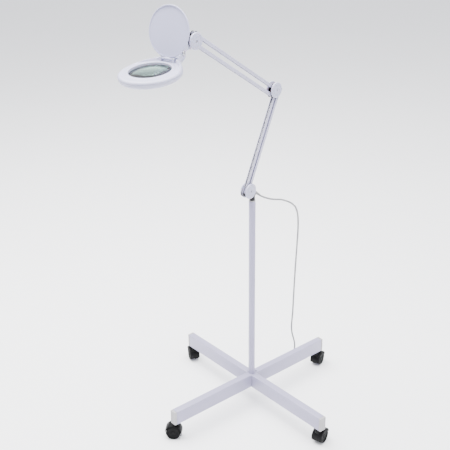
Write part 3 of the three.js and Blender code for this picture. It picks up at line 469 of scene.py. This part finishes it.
b = beam("base_beam", -END, END)
cut(b, cylZ(11.35, 106, 116, seg=64), cylZ(5.2, 58, 66, seg=32), cylZ(3.2, 106, 116, -17.7, 3.6, 40), cylZ(5.4, 58, 66, CASTER_R, 0, 32), cylZ(5.4, 58, 66, -CASTER_R, 0, 32))
bevel(b, 0.25, 2)
put(b, "cross_beam", "root", PAINT, BASE, slot="painted_steel", nodes=("base_beam",))
for nm, sgn in (("left", 1), ("right", -1)):
    b = beam("leg", HW + 0.3, END)
    cut(b, cylZ(5.4, 58, 66, CASTER_R, 0, 32))
    bevel(b, 0.25, 2)
    put(b, "half_beam_" + nm, "root", PAINT, BASE @ Rz(90 * sgn), slot="painted_steel", nodes=("base_leg_" + nm,))
# welded collar bead at the pole's foot
bead = []
for k in range(73):
    a = 2 * math.pi * k / 72
    bead.append(((11.35 + 0.15 * math.sin(9 * a)) * math.cos(a), (11.35 + 0.15 * math.sin(9 * a)) * math.sin(a), 112.1 + 0.1 * math.sin(23 * a)))
put(fix(sweep("pole_foot_bead", bead, 0.75, 10, caps=False)), "pole_foot_bead", "root", PAINT, BASE, slot="painted_steel", smooth=70)

for k in range(4):
    G = BASE @ Rz(90 * k)
    # end cap: rimmed moulding with a hollow plug that goes into the tube
    c = along_x("cap", [(y, z + ZC) for y, z in rrect(HW, 25, 3.0, 6)], 342, 350)
    bevel(c, 1.3, 4, 50)
    cut(c, along_x("d", [(y, z + ZC) for y, z in rrect(HW - 3.4, 21.6, 1.6, 4)], 349.3, 352))
    bevel(c, 0.25, 2, 50)
    p = along_x("plug", [(y, z + ZC) for y, z in rrect(10.3, 22.8, 1.2, 3)], 330, 343)
    cut(p, along_x("in", [(y, z + ZC) for y, z in rrect(8.3, 20.8, 1, 3)], 329, 340))
    add(c, p)
    put(c, f"beam_end_cap_{k + 1}", "root", CAPM, G, slot="end_cap_plastic", nodes=(f"end_cap_{k + 1}",))

    # caster: stem and flange
    G = BASE @ T(CASTER_R * math.cos(90 * k * RAD), CASTER_R * math.sin(90 * k * RAD), 0) @ Rz(CASTER_YAW[k])
    n = k + 1
    st = lathe("stem", fil([(0, 52), (4.2, 52, .6), (4.9, 52.8, .3), (4.9, 59.8, .3), (8, 59.8, .5), (8, 61.7, .5), (4.9, 61.7, .3), (4.9, 68, .3), (4.4, 68.6, .2), (4.4, 69.8, .2), (4.9, 70.4, .2), (4.9, 75, .6), (4.0, 76, .3), (0, 76)], 0.3, 3, closed=False), 48)
    put(st, f"stem_{n}", "root", STEEL, G, slot="bright_steel", nodes=(f"caster_stem_{n}",))
    # hood: arched shell, web and socket
    side = WHEEL_GAP / 2 + WHEEL_W + 0.6
    r0, r1 = 26.2, 28.6; t0, t1 = 12, 200
    N = 40
    arch = [(r1 * math.cos((t0 + (t1 - t0) * i / N) * RAD), r1 * math.sin((t0 + (t1 - t0) * i / N) * RAD)) for i in range(N + 1)]
    arch += [(r0 * math.cos((t0 + (t1 - t0) * i / N) * RAD), r0 * math.sin((t0 + (t1 - t0) * i / N) * RAD)) for i in range(N, -1, -1)]
    C0 = T(TRAIL, 0, WHEEL_R)
    hood = moved(plateXZ("hood", arch, -side, side), C0)
    bevel(hood, 1.0, 3, 50)
    sock = lathe("sock", fil([(0, 44), (9.4, 44), (9.4, 50, 1), (8.6, 58.2, .8), (8.2, 59, .5), (0, 59)], 0.5, 3, closed=False), 48)
    cut(sock, cylY(26.15, -side - 2, side + 2, TRAIL, WHEEL_R, 64))
    web = [((r0 + .8) * math.cos((t0 + (t1 - t0) * i / N) * RAD), (r0 + .8) * math.sin((t0 + (t1 - t0) * i / N) * RAD)) for i in range(N + 1)] + [(-9, -9), (9, -9)]
    w = moved(plateXZ("web", web, -2.1, 2.1), C0)
    add(hood, sock, w, cylY(3.0, -side + 1.5, side - 1.5, TRAIL, WHEEL_R, 32))
    cut(hood, cylZ(5.4, 51.4, 62, seg=40))
    put(hood, f"caster_cover_{n}", f"caster_{n}", CASTER, G, slot="caster_plastic", nodes=(f"caster_hood_{n}",))
    for tag, sg in (("l", 1), ("r", -1)):
        y0, y1 = WHEEL_GAP / 2, WHEEL_GAP / 2 + WHEEL_W
        prof = [(3.35, y0, .2), (17.6, y0, .3), (18.4, y0 + .9, .3), (20.6, y0 + .9, .3), (21.4, y0, .3), (23.6, y0, .8), (24.9, y0 + 1.6, 1), (25, y0 + 2.5, 1), (25, y0 + 6.0, .15), (24.6, y0 + 6.25, .1), (24.6, y0 + 6.65, .1), (25, y0 + 6.9, .15), (25, y1 - 3.5, 1.2),
                (23.2, y1, 1.2), (19.4, y1, .6), (17.8, y1 - 2.4, .6), (15.0, y1 - 2.6, .5), (14.2, y1 - 2.0, .3), (12.8, y1 - 2.0, .3), (12.0, y1 - 2.6, .3), (7.4, y1 - 2.6, .5), (6.6, y1 - 1.4, .5), (3.35, y1 - 1.4, .4)]
        wh = lathe("wheel", fil(prof, 0.3, 3), 96)
        wh = moved(wh, (C0 @ Rx(-90)) if sg > 0 else (C0 @ Matrix.Diagonal((1, -1, 1, 1)) @ Rx(-90)))
        put(wh, f"wheel_{n}{tag}", f"wheel_{n}{tag}", TYRE, G, slot="tyre", nodes=(f"caster_wheel_{n}{tag}",))

# fixing screw beside the pole, hollow hexagon
ss = cylZ(2.9, 105, 111.5, -17.7, 3.6, 40)
cut(ss, cylZ(1.55, 108.5, 113, -17.7, 3.6, 6)); bevel(ss, 0.2, 2)
put(ss, "fixing_screw", "root", NYLON, BASE, slot="bright_steel")

# ------------------------------------------------------------------ pole
bore = 9.4
pz = BEAM_Z0 + 1.8
po = lathe("pole", fil([(bore, pz + 4, 0), (bore, 770, .4), (11, 770, .5), (11, pz, .5), (5.2, pz, .3), (5.2, pz + 4, 0)], 0.3, 3), 128)
put(po, "pole_tube", "root", PAINT, slot="painted_steel", nodes=("pole",))
bo = add(prism("head", [(8.5 * math.cos(60 * i * RAD), 8.5 * math.sin(60 * i * RAD)) for i in range(6)], 56, 61.7), cylZ(4.9, 60, pz + 9, seg=48))
add(bo, prism("nut", [(7.5 * math.cos(60 * i * RAD), 7.5 * math.sin(60 * i * RAD)) for i in range(6)], pz + 4.3, pz + 8.8))
bevel(bo, 0.35, 3)
put(bo, "foot_bolt", "root", STEEL, slot="bright_steel", nodes=("pole_bolt",))
bu = lathe("bush", fil([(6.65, 730, .3), (9.1, 730, .4), (9.1, 770.3, 0), (10.9, 770.3, .5), (11, 773.2, .8), (6.65, 773.2, .4)], 0.3, 3), 96)
put(bu, "pole_bush", "root", CAPM, slot="end_cap_plastic", nodes=("pole_top_bush",))

# ------------------------------------------------------------------ pivot blocks and their covers
PY0, PY1 = 5.4, 7.6


def twin(circles):
    a = plateXZ("pl", hull(circles), PY0, PY1); b_ = plateXZ("pl", hull(circles), -PY1, -PY0)
    return bevel(a, 0.35, 2), bevel(b_, 0.35, 2)


def pin(p, r_=3.0): return cylY(r_, -PY1 + 0.5, PY1 - 0.5, p[0], p[1], 40)


def covers(tag, disc, body, screw_node):
    for side_, sg in (("front", 1), ("rear", -1)):
        prof = [(0, 0), (24.2, 0, .3), (25, 0.8, .4), (25, 3.2, 1.0), (23.6, 5.0, 1.4), (20.6, 5.75, 1.2), (17.8, 5.55, .5), (17.2, 5.1, .3), (16.3, 5.1, .3), (15.6, 5.75, .5), (8, 6.1, 3), (4.3, 6.1, .5), (3.5, 5.2, .4), (3.5, 2.9, .3), (0, 2.9)]
        c = lathe("cover", fil(prof, 0.3, 4, closed=False), 112)
        mt = T(disc[0], 7.9, disc[1]) @ Rx(-90)
        if sg < 0: mt = Matrix.Diagonal((1, -1, 1, 1)) @ mt
        put(c, f"{tag}_disc_{side_}", body, SHELL, mt, slot="shell_plastic", nodes=(f"{tag}_cover_{side_}",))
        s_ = lathe("screw", fil([(0, 3.05), (2.95, 3.05, .1), (2.95, 4.2, .5), (2.1, 5.15, .8), (0, 5.3)], 0.3, 4, closed=False), 40)
        cr = boxo(-2.0, 2.0, -0.4, 0.4, 4.1, 7); cr2 = boxo(-0.4, 0.4, -2.0, 2.0, 4.1, 7)
        cut(s_, cr, cr2)
        mt2 = T(disc[0], 7.9, disc[1]) @ Ry(20) @ Rx(-90)
        if sg < 0: mt2 = Matrix.Diagonal((1, -1, 1, 1)) @ mt2
        put(s_, f"{tag}_screw_{side_}", body, SCREW, mt2, slot="bright_steel", nodes=(screw_node,) if sg > 0 else ())


a_, b_ = twin([(LOW_F[0], LOW_F[1], 7), (LOW_R[0], LOW_R[1], 8), (LOW_DISC[0], LOW_DISC[1] - 6, 15), (0, 795, 9)])
br = add(a_, b_, pin(LOW_F), pin(LOW_R), bevel(boxo(-8, 21, -7.1, 7.1, 791, 799), 0.5, 2))
add(br, moved(lathe("barrel", fil([(0, 773.5), (8.6, 773.5, .4), (9, 774.2, .4), (9, 784, .8), (7.2, 785.6, 1), (7.2, 797, 0), (0, 797)], 0.3, 3, closed=False), 96), T()), cylZ(6.5, 732, 776, seg=64))
add(br, moved(lathe("out", [(0, 5), (5.2, 5), (5.2, 14.4), (4.6, 15), (0, 15)], 40), ALONG))
put(br, "swivel_frame", "swivel", NYLON, slot="black_nylon", nodes=("swivel_bracket",))
covers("bracket", LOW_DISC, "swivel", "bracket_screw")

a_, b_ = twin([(EL_F[0], EL_F[1], 7), (EL_R[0], EL_R[1], 7), (EU_T[0], EU_T[1], 7), (EU_B[0], EU_B[1], 7), (*ELBOW_DISC, 16)])
eb = add(a_, b_, pin(EL_F), pin(EL_R), pin(EU_T), pin(EU_B))
put(eb, "elbow_frame", "elbow", NYLON, slot="black_nylon", nodes=("elbow_block",))
covers("elbow", ELBOW_DISC, "elbow", "elbow_screw")

SX = 284
a_, b_ = twin([(FR_T[0], FR_T[1], 7), (FR_B[0], FR_B[1], 7), (*FRONT_DISC, 16)])
nose = bevel(plateXZ("nose", hull([(SX, 1338, 6), (264, 1336, 8), (264, 1330, 8)]), -7.1, 7.1), 1.0, 3)
fb = add(a_, b_, pin(FR_T), nose)
cut(fb, boxo(SX - 9, SX + 9, -9, 9, 1310, 1332.3), cylY(6.2, -5.3, 5.3, FR_B[0], FR_B[1], 48))
add(fb, pin(FR_B), cylZ(3, 1313.5, 1334, SX, 0, 32))
put(fb, "front_frame", "front_bracket", NYLON, slot="black_nylon", nodes=("front_block",))
covers("front", FRONT_DISC, "front_bracket", "front_screw")

# ------------------------------------------------------------------ channel bars and springs


def channel(len_):
    h, w, t = 5, 5, 1.2
    u = [(-w, -h, .3), (-w, h, 1.6), (w, h, 1.6), (w, -h, .3), (w - t, -h, .3), (w - t, h - t, .5), (-w + t, h - t, .5), (-w + t, -h, .3)]
    o = along_x("ch", fil(u, .3, 4), -h - 1, len_ + h + 1)
    meet(o, plateXZ("o", hull([(0, 0, h), (len_, 0, h)], 64), -w - 2, w + 2))
    cut(o, cylY(3.25, -w - 2, w + 2, 0, 0, 40), cylY(3.25, -w - 2, w + 2, len_, 0, 40))
    return bevel(o, 0.18, 2, 40)


def coil(len_):
    """tension spring between two hooked ends"""
    P = []
    x0, x1, r_, pitch = 22, len_ - 22, 2.35, 1.75
    n = int((x1 - x0) / pitch)
    for i in range(7): P.append((x0 - 9 + i * 1.1, 0, -0.6 + (0.6 if i < 2 else 0)))
    for i in range(n * 10 + 1):
        a = 2 * math.pi * i / 10; f_ = min(1, i / 6, (n * 10 - i) / 6)
        P.append((x0 + (x1 - x0) * i / (n * 10), r_ * f_ * math.sin(a), -0.6 + r_ * f_ * math.cos(a)))
    for i in range(7): P.append((x1 + 1.5 + i * 1.1, 0, -0.6))
    return sweep("coil", P, 0.6, 6)


def at_bar(p, ang): return T(p[0], 0, p[1]) @ Ry(-ang)
for nm, ln, p, ang, body in (("lower_bar_front", 330, LOW_F, 116.5, "lower_arm"), ("lower_bar_rear", 330, LOW_R, 116.5, "lower_link"),
                             ("upper_bar_top", 410, EU_T, 32.6, "upper_arm"), ("upper_bar_bottom", 410, EU_B, 32.6, "upper_link")):
    put(channel(ln), nm + "_channel", body, BAR, at_bar(p, ang), slot="painted_steel", nodes=(nm,))
put(coil(330), "lower_balance_spring", "lower_arm", SPRING, at_bar(LOW_F, 116.5), slot="bright_steel", smooth=80, nodes=("lower_spring",))
put(coil(410), "upper_balance_spring", "upper_link", SPRING, at_bar(EU_B, 32.6), slot="bright_steel", smooth=80, nodes=("upper_spring",))

# ------------------------------------------------------------------ head
def chain(pts):
    """full outline from its half in +y, ring arc on the front, evenly spaced and eased"""
    poly = [Vector(p) for p in pts] + [Vector((x, -y)) for x, y in pts[::-1]]
    def ray(th):
        d = Vector((math.cos(th), math.sin(th))); best = 87.0
        for a, b in zip(poly, poly[1:]):
            e = b - a; den = d.x * e.y - d.y * e.x
            if abs(den) < 1e-9: continue
            t = (a.x * e.y - a.y * e.x) / den; u = (a.x * d.y - a.y * d.x) / den
            if t > 0 and -1e-6 <= u <= 1 + 1e-6: best = max(best, t)
        return d * best
    P = [ray(math.pi * 2 * k / 4000) for k in range(4000)]
    L = [0]
    for a, b in zip(P, P[1:] + P[:1]): L.append(L[-1] + (b - a).length)
    n = 280; A = np.array([[p.x, p.y] for p in P + P[:1]])
    s = np.linspace(0, L[-1], n, endpoint=False)
    Q = np.stack([np.interp(s, L, A[:, 0]), np.interp(s, L, A[:, 1])], 1)
    for _ in range(10): Q = 0.25 * np.roll(Q, 1, 0) + 0.5 * Q + 0.25 * np.roll(Q, -1, 0)
    ring = np.linalg.norm(Q, axis=1); front = Q[:, 0] > -30
    Q[front] *= (87.0 / ring[front])[:, None]
    return Q


def dist_to(Q, pts):
    a = Q; b = np.roll(Q, -1, 0); ab = b - a; out = []
    for p in pts:
        t = np.clip(((p - a) * ab).sum(1) / (ab ** 2).sum(1), 0, 1)
        out.append(np.linalg.norm(p - (a + ab * t[:, None]), axis=1).min())
    return np.array(out)


def loft(name, Q, rows):
    """rows: list of functions or arrays giving (n, 3) points, closed round both ways"""
    n = len(Q); V = np.concatenate(rows); F = []; m_ = len(rows)
    for i in range(m_):
        j = (i + 1) % m_
        for k in range(n):
            l = (k + 1) % n
            F.append([i * n + k, i * n + l, j * n + l, j * n + k])
    return fix(raw(name, V.tolist(), F))


Q = chain([(-45, 71), (-76, 46), (-96, 27), (-112, 16), (-128, 14.2), (-131.5, 13.4), (-133, 11)])
RQ = np.linalg.norm(Q, axis=1); DQ = Q / RQ[:, None]
def row(r, z):
    r = np.broadcast_to(np.asarray(r, float), RQ.shape)
    return np.column_stack([DQ * r[:, None], np.broadcast_to(np.asarray(z, float), RQ.shape)])


def hump(P):
    """raised shoulder behind and beside the lid's seat"""
    h_ = np.interp(-P[:, 0], [12, 40, 60, 78, 96, 112, 126], [0, 3.6, 6.6, 8.8, 9.4, 9.0, 4.0])
    t_ = np.clip((np.hypot(P[:, 0] + 2.9, P[:, 1]) - 74.2) / 3.2, 0, 1)
    return h_ * t_ * t_ * (3 - 2 * t_)


def over(r, wide=10.0, tall=7.3, low=-8.0, tight=3.2):
    P = DQ * np.broadcast_to(r, RQ.shape)[:, None]
    w = wide + (tight - wide) * np.clip((-P[:, 0] - 78) / 30, 0, 1)
    d = np.minimum(dist_to(Q, P), w)
    return low + (tall + hump(P)) * np.sqrt(np.maximum(0, 1 - (1 - d / w) ** 2))


rows = [row(62.3, -8), row(62.3, -5.6), row(58.2, -5.6), row(58.2, 0.1), row(58.35, 0.7), row(58.8, 1.15), row(59.5, 1.4), row(61.5, 1.45), row(63.8, 1.4), row(65.0, 1.05), row(65.8, 0.55), row(66.8, 0.25), row(70, -0.05), row(73.5, -0.3)]
fr = [0, .18, .36, .52, .66, .77, .85, .905, .945, .97, .987, .996]
for f_ in fr:
    r_ = 76.5 + (RQ - 76.5) * f_
    z_ = over(r_, 10.2, 7.35); rows.append(row(r_, np.minimum(z_, -0.62 + hump(DQ * r_[:, None]))))
rows.append(row(RQ, -7.7)); rows.append(row(RQ - 0.25, -8.0))
up = loft("upper", Q, rows)
ear = plateXZ("ear", hull([(TILT[0], TILT[1], 10.5), (-112, -4, 4), (-130, -4, 4)]), -14, 14)
bevel(ear, 1.2, 3, 50)
lugs = []
for sg in (1, -1):
    y0, y1 = (19.4, 25) if sg > 0 else (-25, -19.4)
    lugs.append(bevel(plateXZ("lug", hull([(-74.3, 7.6, 4.6), (-79.3, -3, 2.2), (-70.3, -3, 2.2)]), y0, y1), 0.6, 3))
add(up, ear)
lugs2 = lugs
cut(up, boxo(-150, -106, -6.6, 6.6, -30, 40), cylY(3.2, -20, 20, TILT[0], TILT[1], 48))
hr = boxo(-85.5, -67.5, -27, 27, -0.6, 30); bevel(hr, 1.0, 3, 50); cut(up, hr); add(up, *lugs2)
# a shallow counterbore round the tilt screw, and the hinge pin's bore
cut(up, cylY(6.6, 13.4, 16, TILT[0], TILT[1], 48), cylY(1.75, -30, 30, -74.3, 7.6, 32))
put(up, "head_top_cover", "head", SHELL, HEAD, slot="shell_plastic", smooth=34, nodes=("head_upper_shell",))

# lower shell
def zb(x): return -22.7 + np.clip((-x - 84) / 49, 0, 1) * 10.5
def under(r):
    P = DQ * np.broadcast_to(r, RQ.shape)[:, None]
    w = 9.4 + (3.2 - 9.4) * np.clip((-P[:, 0] - 78) / 30, 0, 1)
    d = np.minimum(dist_to(Q, P), w); b_ = zb(P[:, 0])
    return -8.3 + (b_ + 8.3) * np.sqrt(np.maximum(0, 1 - (1 - d / w) ** 2))


rows = [row(64.8, -8.3), row(64.8, -9.8), row(62.0, -9.8), row(60.0, -11.4), row(60.0, -22.6), row(60.3, -23.1), row(60.8, -23.2), row(62.8, -23.2), row(63.4, -22.8), row(63.4, -18.2), row(77.6, -18.2), row(77.6, -22.4), row(77.9, -22.7)]
for f_ in (0.02, .18, .36, .52, .66, .77, .85, .905, .945, .97, .987, .996):
    r_ = 78.2 + (RQ - 78.2) * f_; rows.append(row(r_, under(r_)))
rows.append(row(RQ, -8.6)); rows.append(row(RQ - 0.25, -8.3))
lo = loft("lower", Q, rows)
cut(lo, boxo(-150, -106, -6.6, 6.6, -30, 40), cylZ(5.4, -32, -14.6, -95, 16, 64))
# three cooling slots each side of the tail's underside
for sg in (1, -1):
    for i in range(3): cut(lo, boxo(-102 + i * 4.2, -100.4 + i * 4.2, sg * 3 if sg > 0 else -10, 10 if sg > 0 else -3, -24, -17.5))
put(lo, "head_lower_cover", "head", SHELL, HEAD, slot="shell_plastic", smooth=34, nodes=("head_lower_shell",))

# lens, its seal and the liner round the viewing well, coloured dark green as painted shade for the well's shadowed
# inside
LR, LE, LS, LZ = 62.0, 2.6, 5.4, -8.2
RR = (LR * LR + LS * LS) / (2 * LS)
def cap_z(r): return LS - (RR - math.sqrt(RR * RR - r * r))
prof = [(0, LZ + LE / 2 + LS)] + [(LR * i / 24, LZ + LE / 2 + cap_z(LR * i / 24)) for i in range(1, 24)] + [(61.7, LZ + LE / 2), (62, LZ + LE / 2 - .3), (62, LZ - LE / 2 + .3), (61.7, LZ - LE / 2)]
prof += [(LR * i / 24, LZ - LE / 2 - cap_z(LR * i / 24)) for i in range(23, 0, -1)] + [(0, LZ - LE / 2 - LS)]
ln = lathe("lens", prof, 144)
put(ln, "lens", "head", GLASS, HEAD, slot="lens_glass", smooth=50, nodes=("magnifier_lens",))
put(lathe("seal", fil([(58.5, -6.15), (61.9, -6.7), (61.9, -5.65), (58.5, -5.65)], 0.15, 3), 128), "lens_seal", "head", SEAL, HEAD, slot="black_nylon")
put(lathe("liner", fil([(54.5, -22.9), (59.95, -22.9), (59.95, -12.0), (59.1, -12.0), (59.1, -21.8), (54.5, -21.8)], 0.2, 3), 128), "well_shade_liner", "head", WELL_SHADE, HEAD, slot="black_nylon")
# lamp board with its chips, and the ribbed diffuser
bd = lathe("board", fil([(63.9, -20.0), (77.1, -20.0), (77.1, -18.5), (63.9, -18.5)], 0.15, 2), 128)
V, F = [], []
for k in range(48):
    a = 2 * math.pi * k / 48; c_, s_ = math.cos(a), math.sin(a); o_ = len(V)
    for zz in (-20.0, -20.35):
        for u, v in ((-1.4, -1.4), (1.4, -1.4), (1.4, 1.4), (-1.4, 1.4)):
            sc = 1 if zz == -20.0 else 0.86
            V.append(((70.5 + u * sc) * c_ - v * sc * s_, (70.5 + u * sc) * s_ + v * sc * c_, zz))
    F += [[o_ + i for i in (0, 1, 2, 3)], [o_ + i for i in (7, 6, 5, 4)]] + [[o_ + i, o_ + (i + 1) % 4, o_ + 4 + (i + 1) % 4, o_ + 4 + i] for i in range(4)]
chips = fix(raw("chips", V, F))
put(bd, "lamp_board", "head", BOARD, HEAD, slot="led_board", nodes=("led_ring",))
put(chips, "lamp_chips", "head", LEDY, HEAD, slot="led_board", smooth=20)
pr = [(63.8, -20.5), (63.8, -22.4)]
for i in range(12): pr += [(64.4 + i * 1.03, -22.5), (64.9 + i * 1.03, -22.25)]
pr += [(77.2, -22.4), (77.2, -20.5)]
put(lathe("diff", pr, 128), "ring_diffuser", "head", OPAL, HEAD, slot="diffuser", smooth=50, nodes=("light_diffuser",))
# push button with a dished face
pb = lathe("btn", fil([(0, -16.4), (5, -16.4, .2), (5, -19.2, .4), (3.7, -19.2, .2), (3.6, -20.3, .3), (2.8, -20.6, .4), (0, -20.2)], 0.2, 4, closed=False), 64)
put(moved(pb, T(-95, 16, 0)), "push_button", "button", BUTTON, HEAD, slot="button_plastic", nodes=("power_button",))
# tilt clamp: bolt head on one side, lobed knob on the other
kn = []
for k in range(180):
    a = 2 * math.pi * k / 180; kn.append(((7.9 + 0.6 * math.cos(10 * a)) * math.cos(a), (7.9 + 0.6 * math.cos(10 * a)) * math.sin(a)))
knob = prism("knob", kn, 14.6, 22.9); bevel(knob, 1.1, 4, 50)
cut(knob, cylZ(4.2, 22.2, 24, seg=48)); bevel(knob, 0.2, 2, 50)
put(knob, "tilt_knob", "head", NYLON, HEAD @ T(TILT[0], 0, TILT[1]) @ Rx(90), slot="black_nylon")
bolt = lathe("bolt", fil([(0, -15.4), (2.9, -15.4, .3), (2.9, 14.4, .1), (5.4, 14.4, .4), (5.4, 16.2, .9), (3.9, 16.95, .6), (0, 16.95)], .3, 4, closed=False), 64)
cut(bolt, prism("hex", [(2.3 * math.cos(60 * i * RAD), 2.3 * math.sin(60 * i * RAD)) for i in range(6)], 15.3, 18))
put(bolt, "tilt_bolt", "head", SCREW, HEAD @ T(TILT[0], 0, TILT[1]) @ Rx(-90), slot="bright_steel", nodes=("tilt_screw",))
# hinge pin with domed ends
put(moved(lathe("hp", fil([(0, -24.8), (1.2, -24.6, .4), (1.55, -24.0, .3), (1.55, 24.0, .3), (1.2, 24.6, .4), (0, 24.8)], 0.2, 3, closed=False), 40), T(-74.3, 0, 7.6) @ Rx(-90)),
    "hinge_pin", "head", STEEL, HEAD, slot="bright_steel", nodes=("lid_hinge_pin",))

# ------------------------------------------------------------------ yoke
tw = HEAD @ Vector((TILT[0], 0, TILT[1]))
ya = math.atan2(tw.y, tw.x - SX) / RAD; YL = math.hypot(tw.y, tw.x - SX)
YK = T(SX, 0, 0) @ Rz(ya)
yk = bevel(plateXZ("yk", hull([(0, 1314, 6), (YL, tw.z, 9)]), -5.6, 5.6), 1.3, 4, 50)
add(yk, moved(lathe("bar", fil([(0, 1308), (5.6, 1308, .3), (6, 1308.5, .3), (6, 1331.4, .4), (5.4, 1332, .4), (0, 1332)], .3, 3, closed=False), 64), T()))
cut(yk, cylZ(3.2, 1312.5, 1334, seg=48), cylY(3.2, -8, 8, YL, tw.z, 48))
put(yk, "swivel_neck", "yoke", SHELL, YK, slot="shell_plastic", nodes=("head_yoke",))

# ------------------------------------------------------------------ lid: domed outside, creased inside, drawn closed and turned up
LIDR, LOFF = 69.8, 71.4
LID = HEAD @ T(-74.3, 0, 7.6) @ Ry(-107.5)
pr = [(0, -4.4), (LIDR - .7, -4.4, .5), (LIDR, -3.5, .4), (LIDR - .1, -1.6, 1.2), (LIDR - 4, 0.25, 3), (LIDR - 14, 1.3, 8), (LIDR - 32, 2.0, 8), (0, 2.4)]
lid = lathe("lid", fil(pr, 0.3, 5, closed=False), 160)
rec = prism("rec", [((LIDR - 3.0) * math.cos(2 * math.pi * k / 160), (LIDR - 3.0) * math.sin(2 * math.pi * k / 160)) for k in range(160)], -9, 1)
wedge = along_x("wedge", [(-80, -9), (-80, -4.1), (-8, -0.7), (80, -1.9), (80, -9)], -80, 80)
meet(rec, wedge)
cut(lid, rec); moved(lid, T(LOFF, 0, 0))
tab = prism("tab", fil([(5.2, -25, 3), (38, -41.5, .3), (38, 41.5, .3), (5.2, 25, 3)], 3, 6), -2.2, 0.2)
bevel(tab, 0.45, 3, 50)
cut(tab, cylZ(LIDR - 3.0, -9, 9, LOFF, 0, 160))
add(lid, tab)
cut(lid, boxo(-10, 5.2, -80, 80, -10, 10))
add(lid, cylY(4.2, -18.8, 18.8, 0, 0, 64), boxo(0, 7, -18.7, 18.7, -2.2, 0.2))
cut(lid, cylY(1.75, -30, 30, 0, 0, 32))
put(lid, "lid_dish", "lid", LIDM, LID, slot="shell_plastic", smooth=20, nodes=("lens_lid",))

# ------------------------------------------------------------------ studio
fl_me = bpy.data.meshes.new("floor"); fl_me.from_pydata([(-30, -30, 0), (30, -30, 0), (30, 30, 0), (-30, 30, 0)], [], [(0, 1, 2, 3)])
floor = bpy.data.objects.new("floor", fl_me); bpy.context.collection.objects.link(floor)
fm = material("studio_floor", (0.93, 0.93, 0.935), 0.7, vary=0.01, scale=0.5, bump=0.02, bump_scale=200, spec=0.2)
floor.data.materials.append(fm)
floor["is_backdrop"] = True


def area(name, loc, target, size, power, color=(1, 1, 1)):
    l = bpy.data.lights.new(name, "AREA"); l.shape = "RECTANGLE"; l.size, l.size_y = size; l.energy = power; l.color = color
    o = bpy.data.objects.new(name, l); bpy.context.collection.objects.link(o)
    o.location = loc; o.rotation_euler = (Vector(target) - Vector(loc)).to_track_quat("-Z", "Y").to_euler()
    return o


area("key", (0.6, -1.6, 3.4), (0, 0, 0.7), (2.6, 2.0), 190, (1.0, 0.99, 0.975))
area("fill", (-0.6, 3.0, 2.2), (0, 0, 0.8), (2.4, 2.4), 30, (0.96, 0.98, 1.0))
area("top", (0.2, 0.2, 4.2), (0, 0, 0), (3.5, 3.5), 520)
w = bpy.data.worlds.new("studio"); bpy.context.scene.world = w; w.use_nodes = True
w.node_tree.nodes["Background"].inputs["Color"].default_value = (0.93, 0.945, 1.0, 1)
w.node_tree.nodes["Background"].inputs["Strength"].default_value = 1.7

{"cad": CAD_BOX, "visual": plain(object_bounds())}
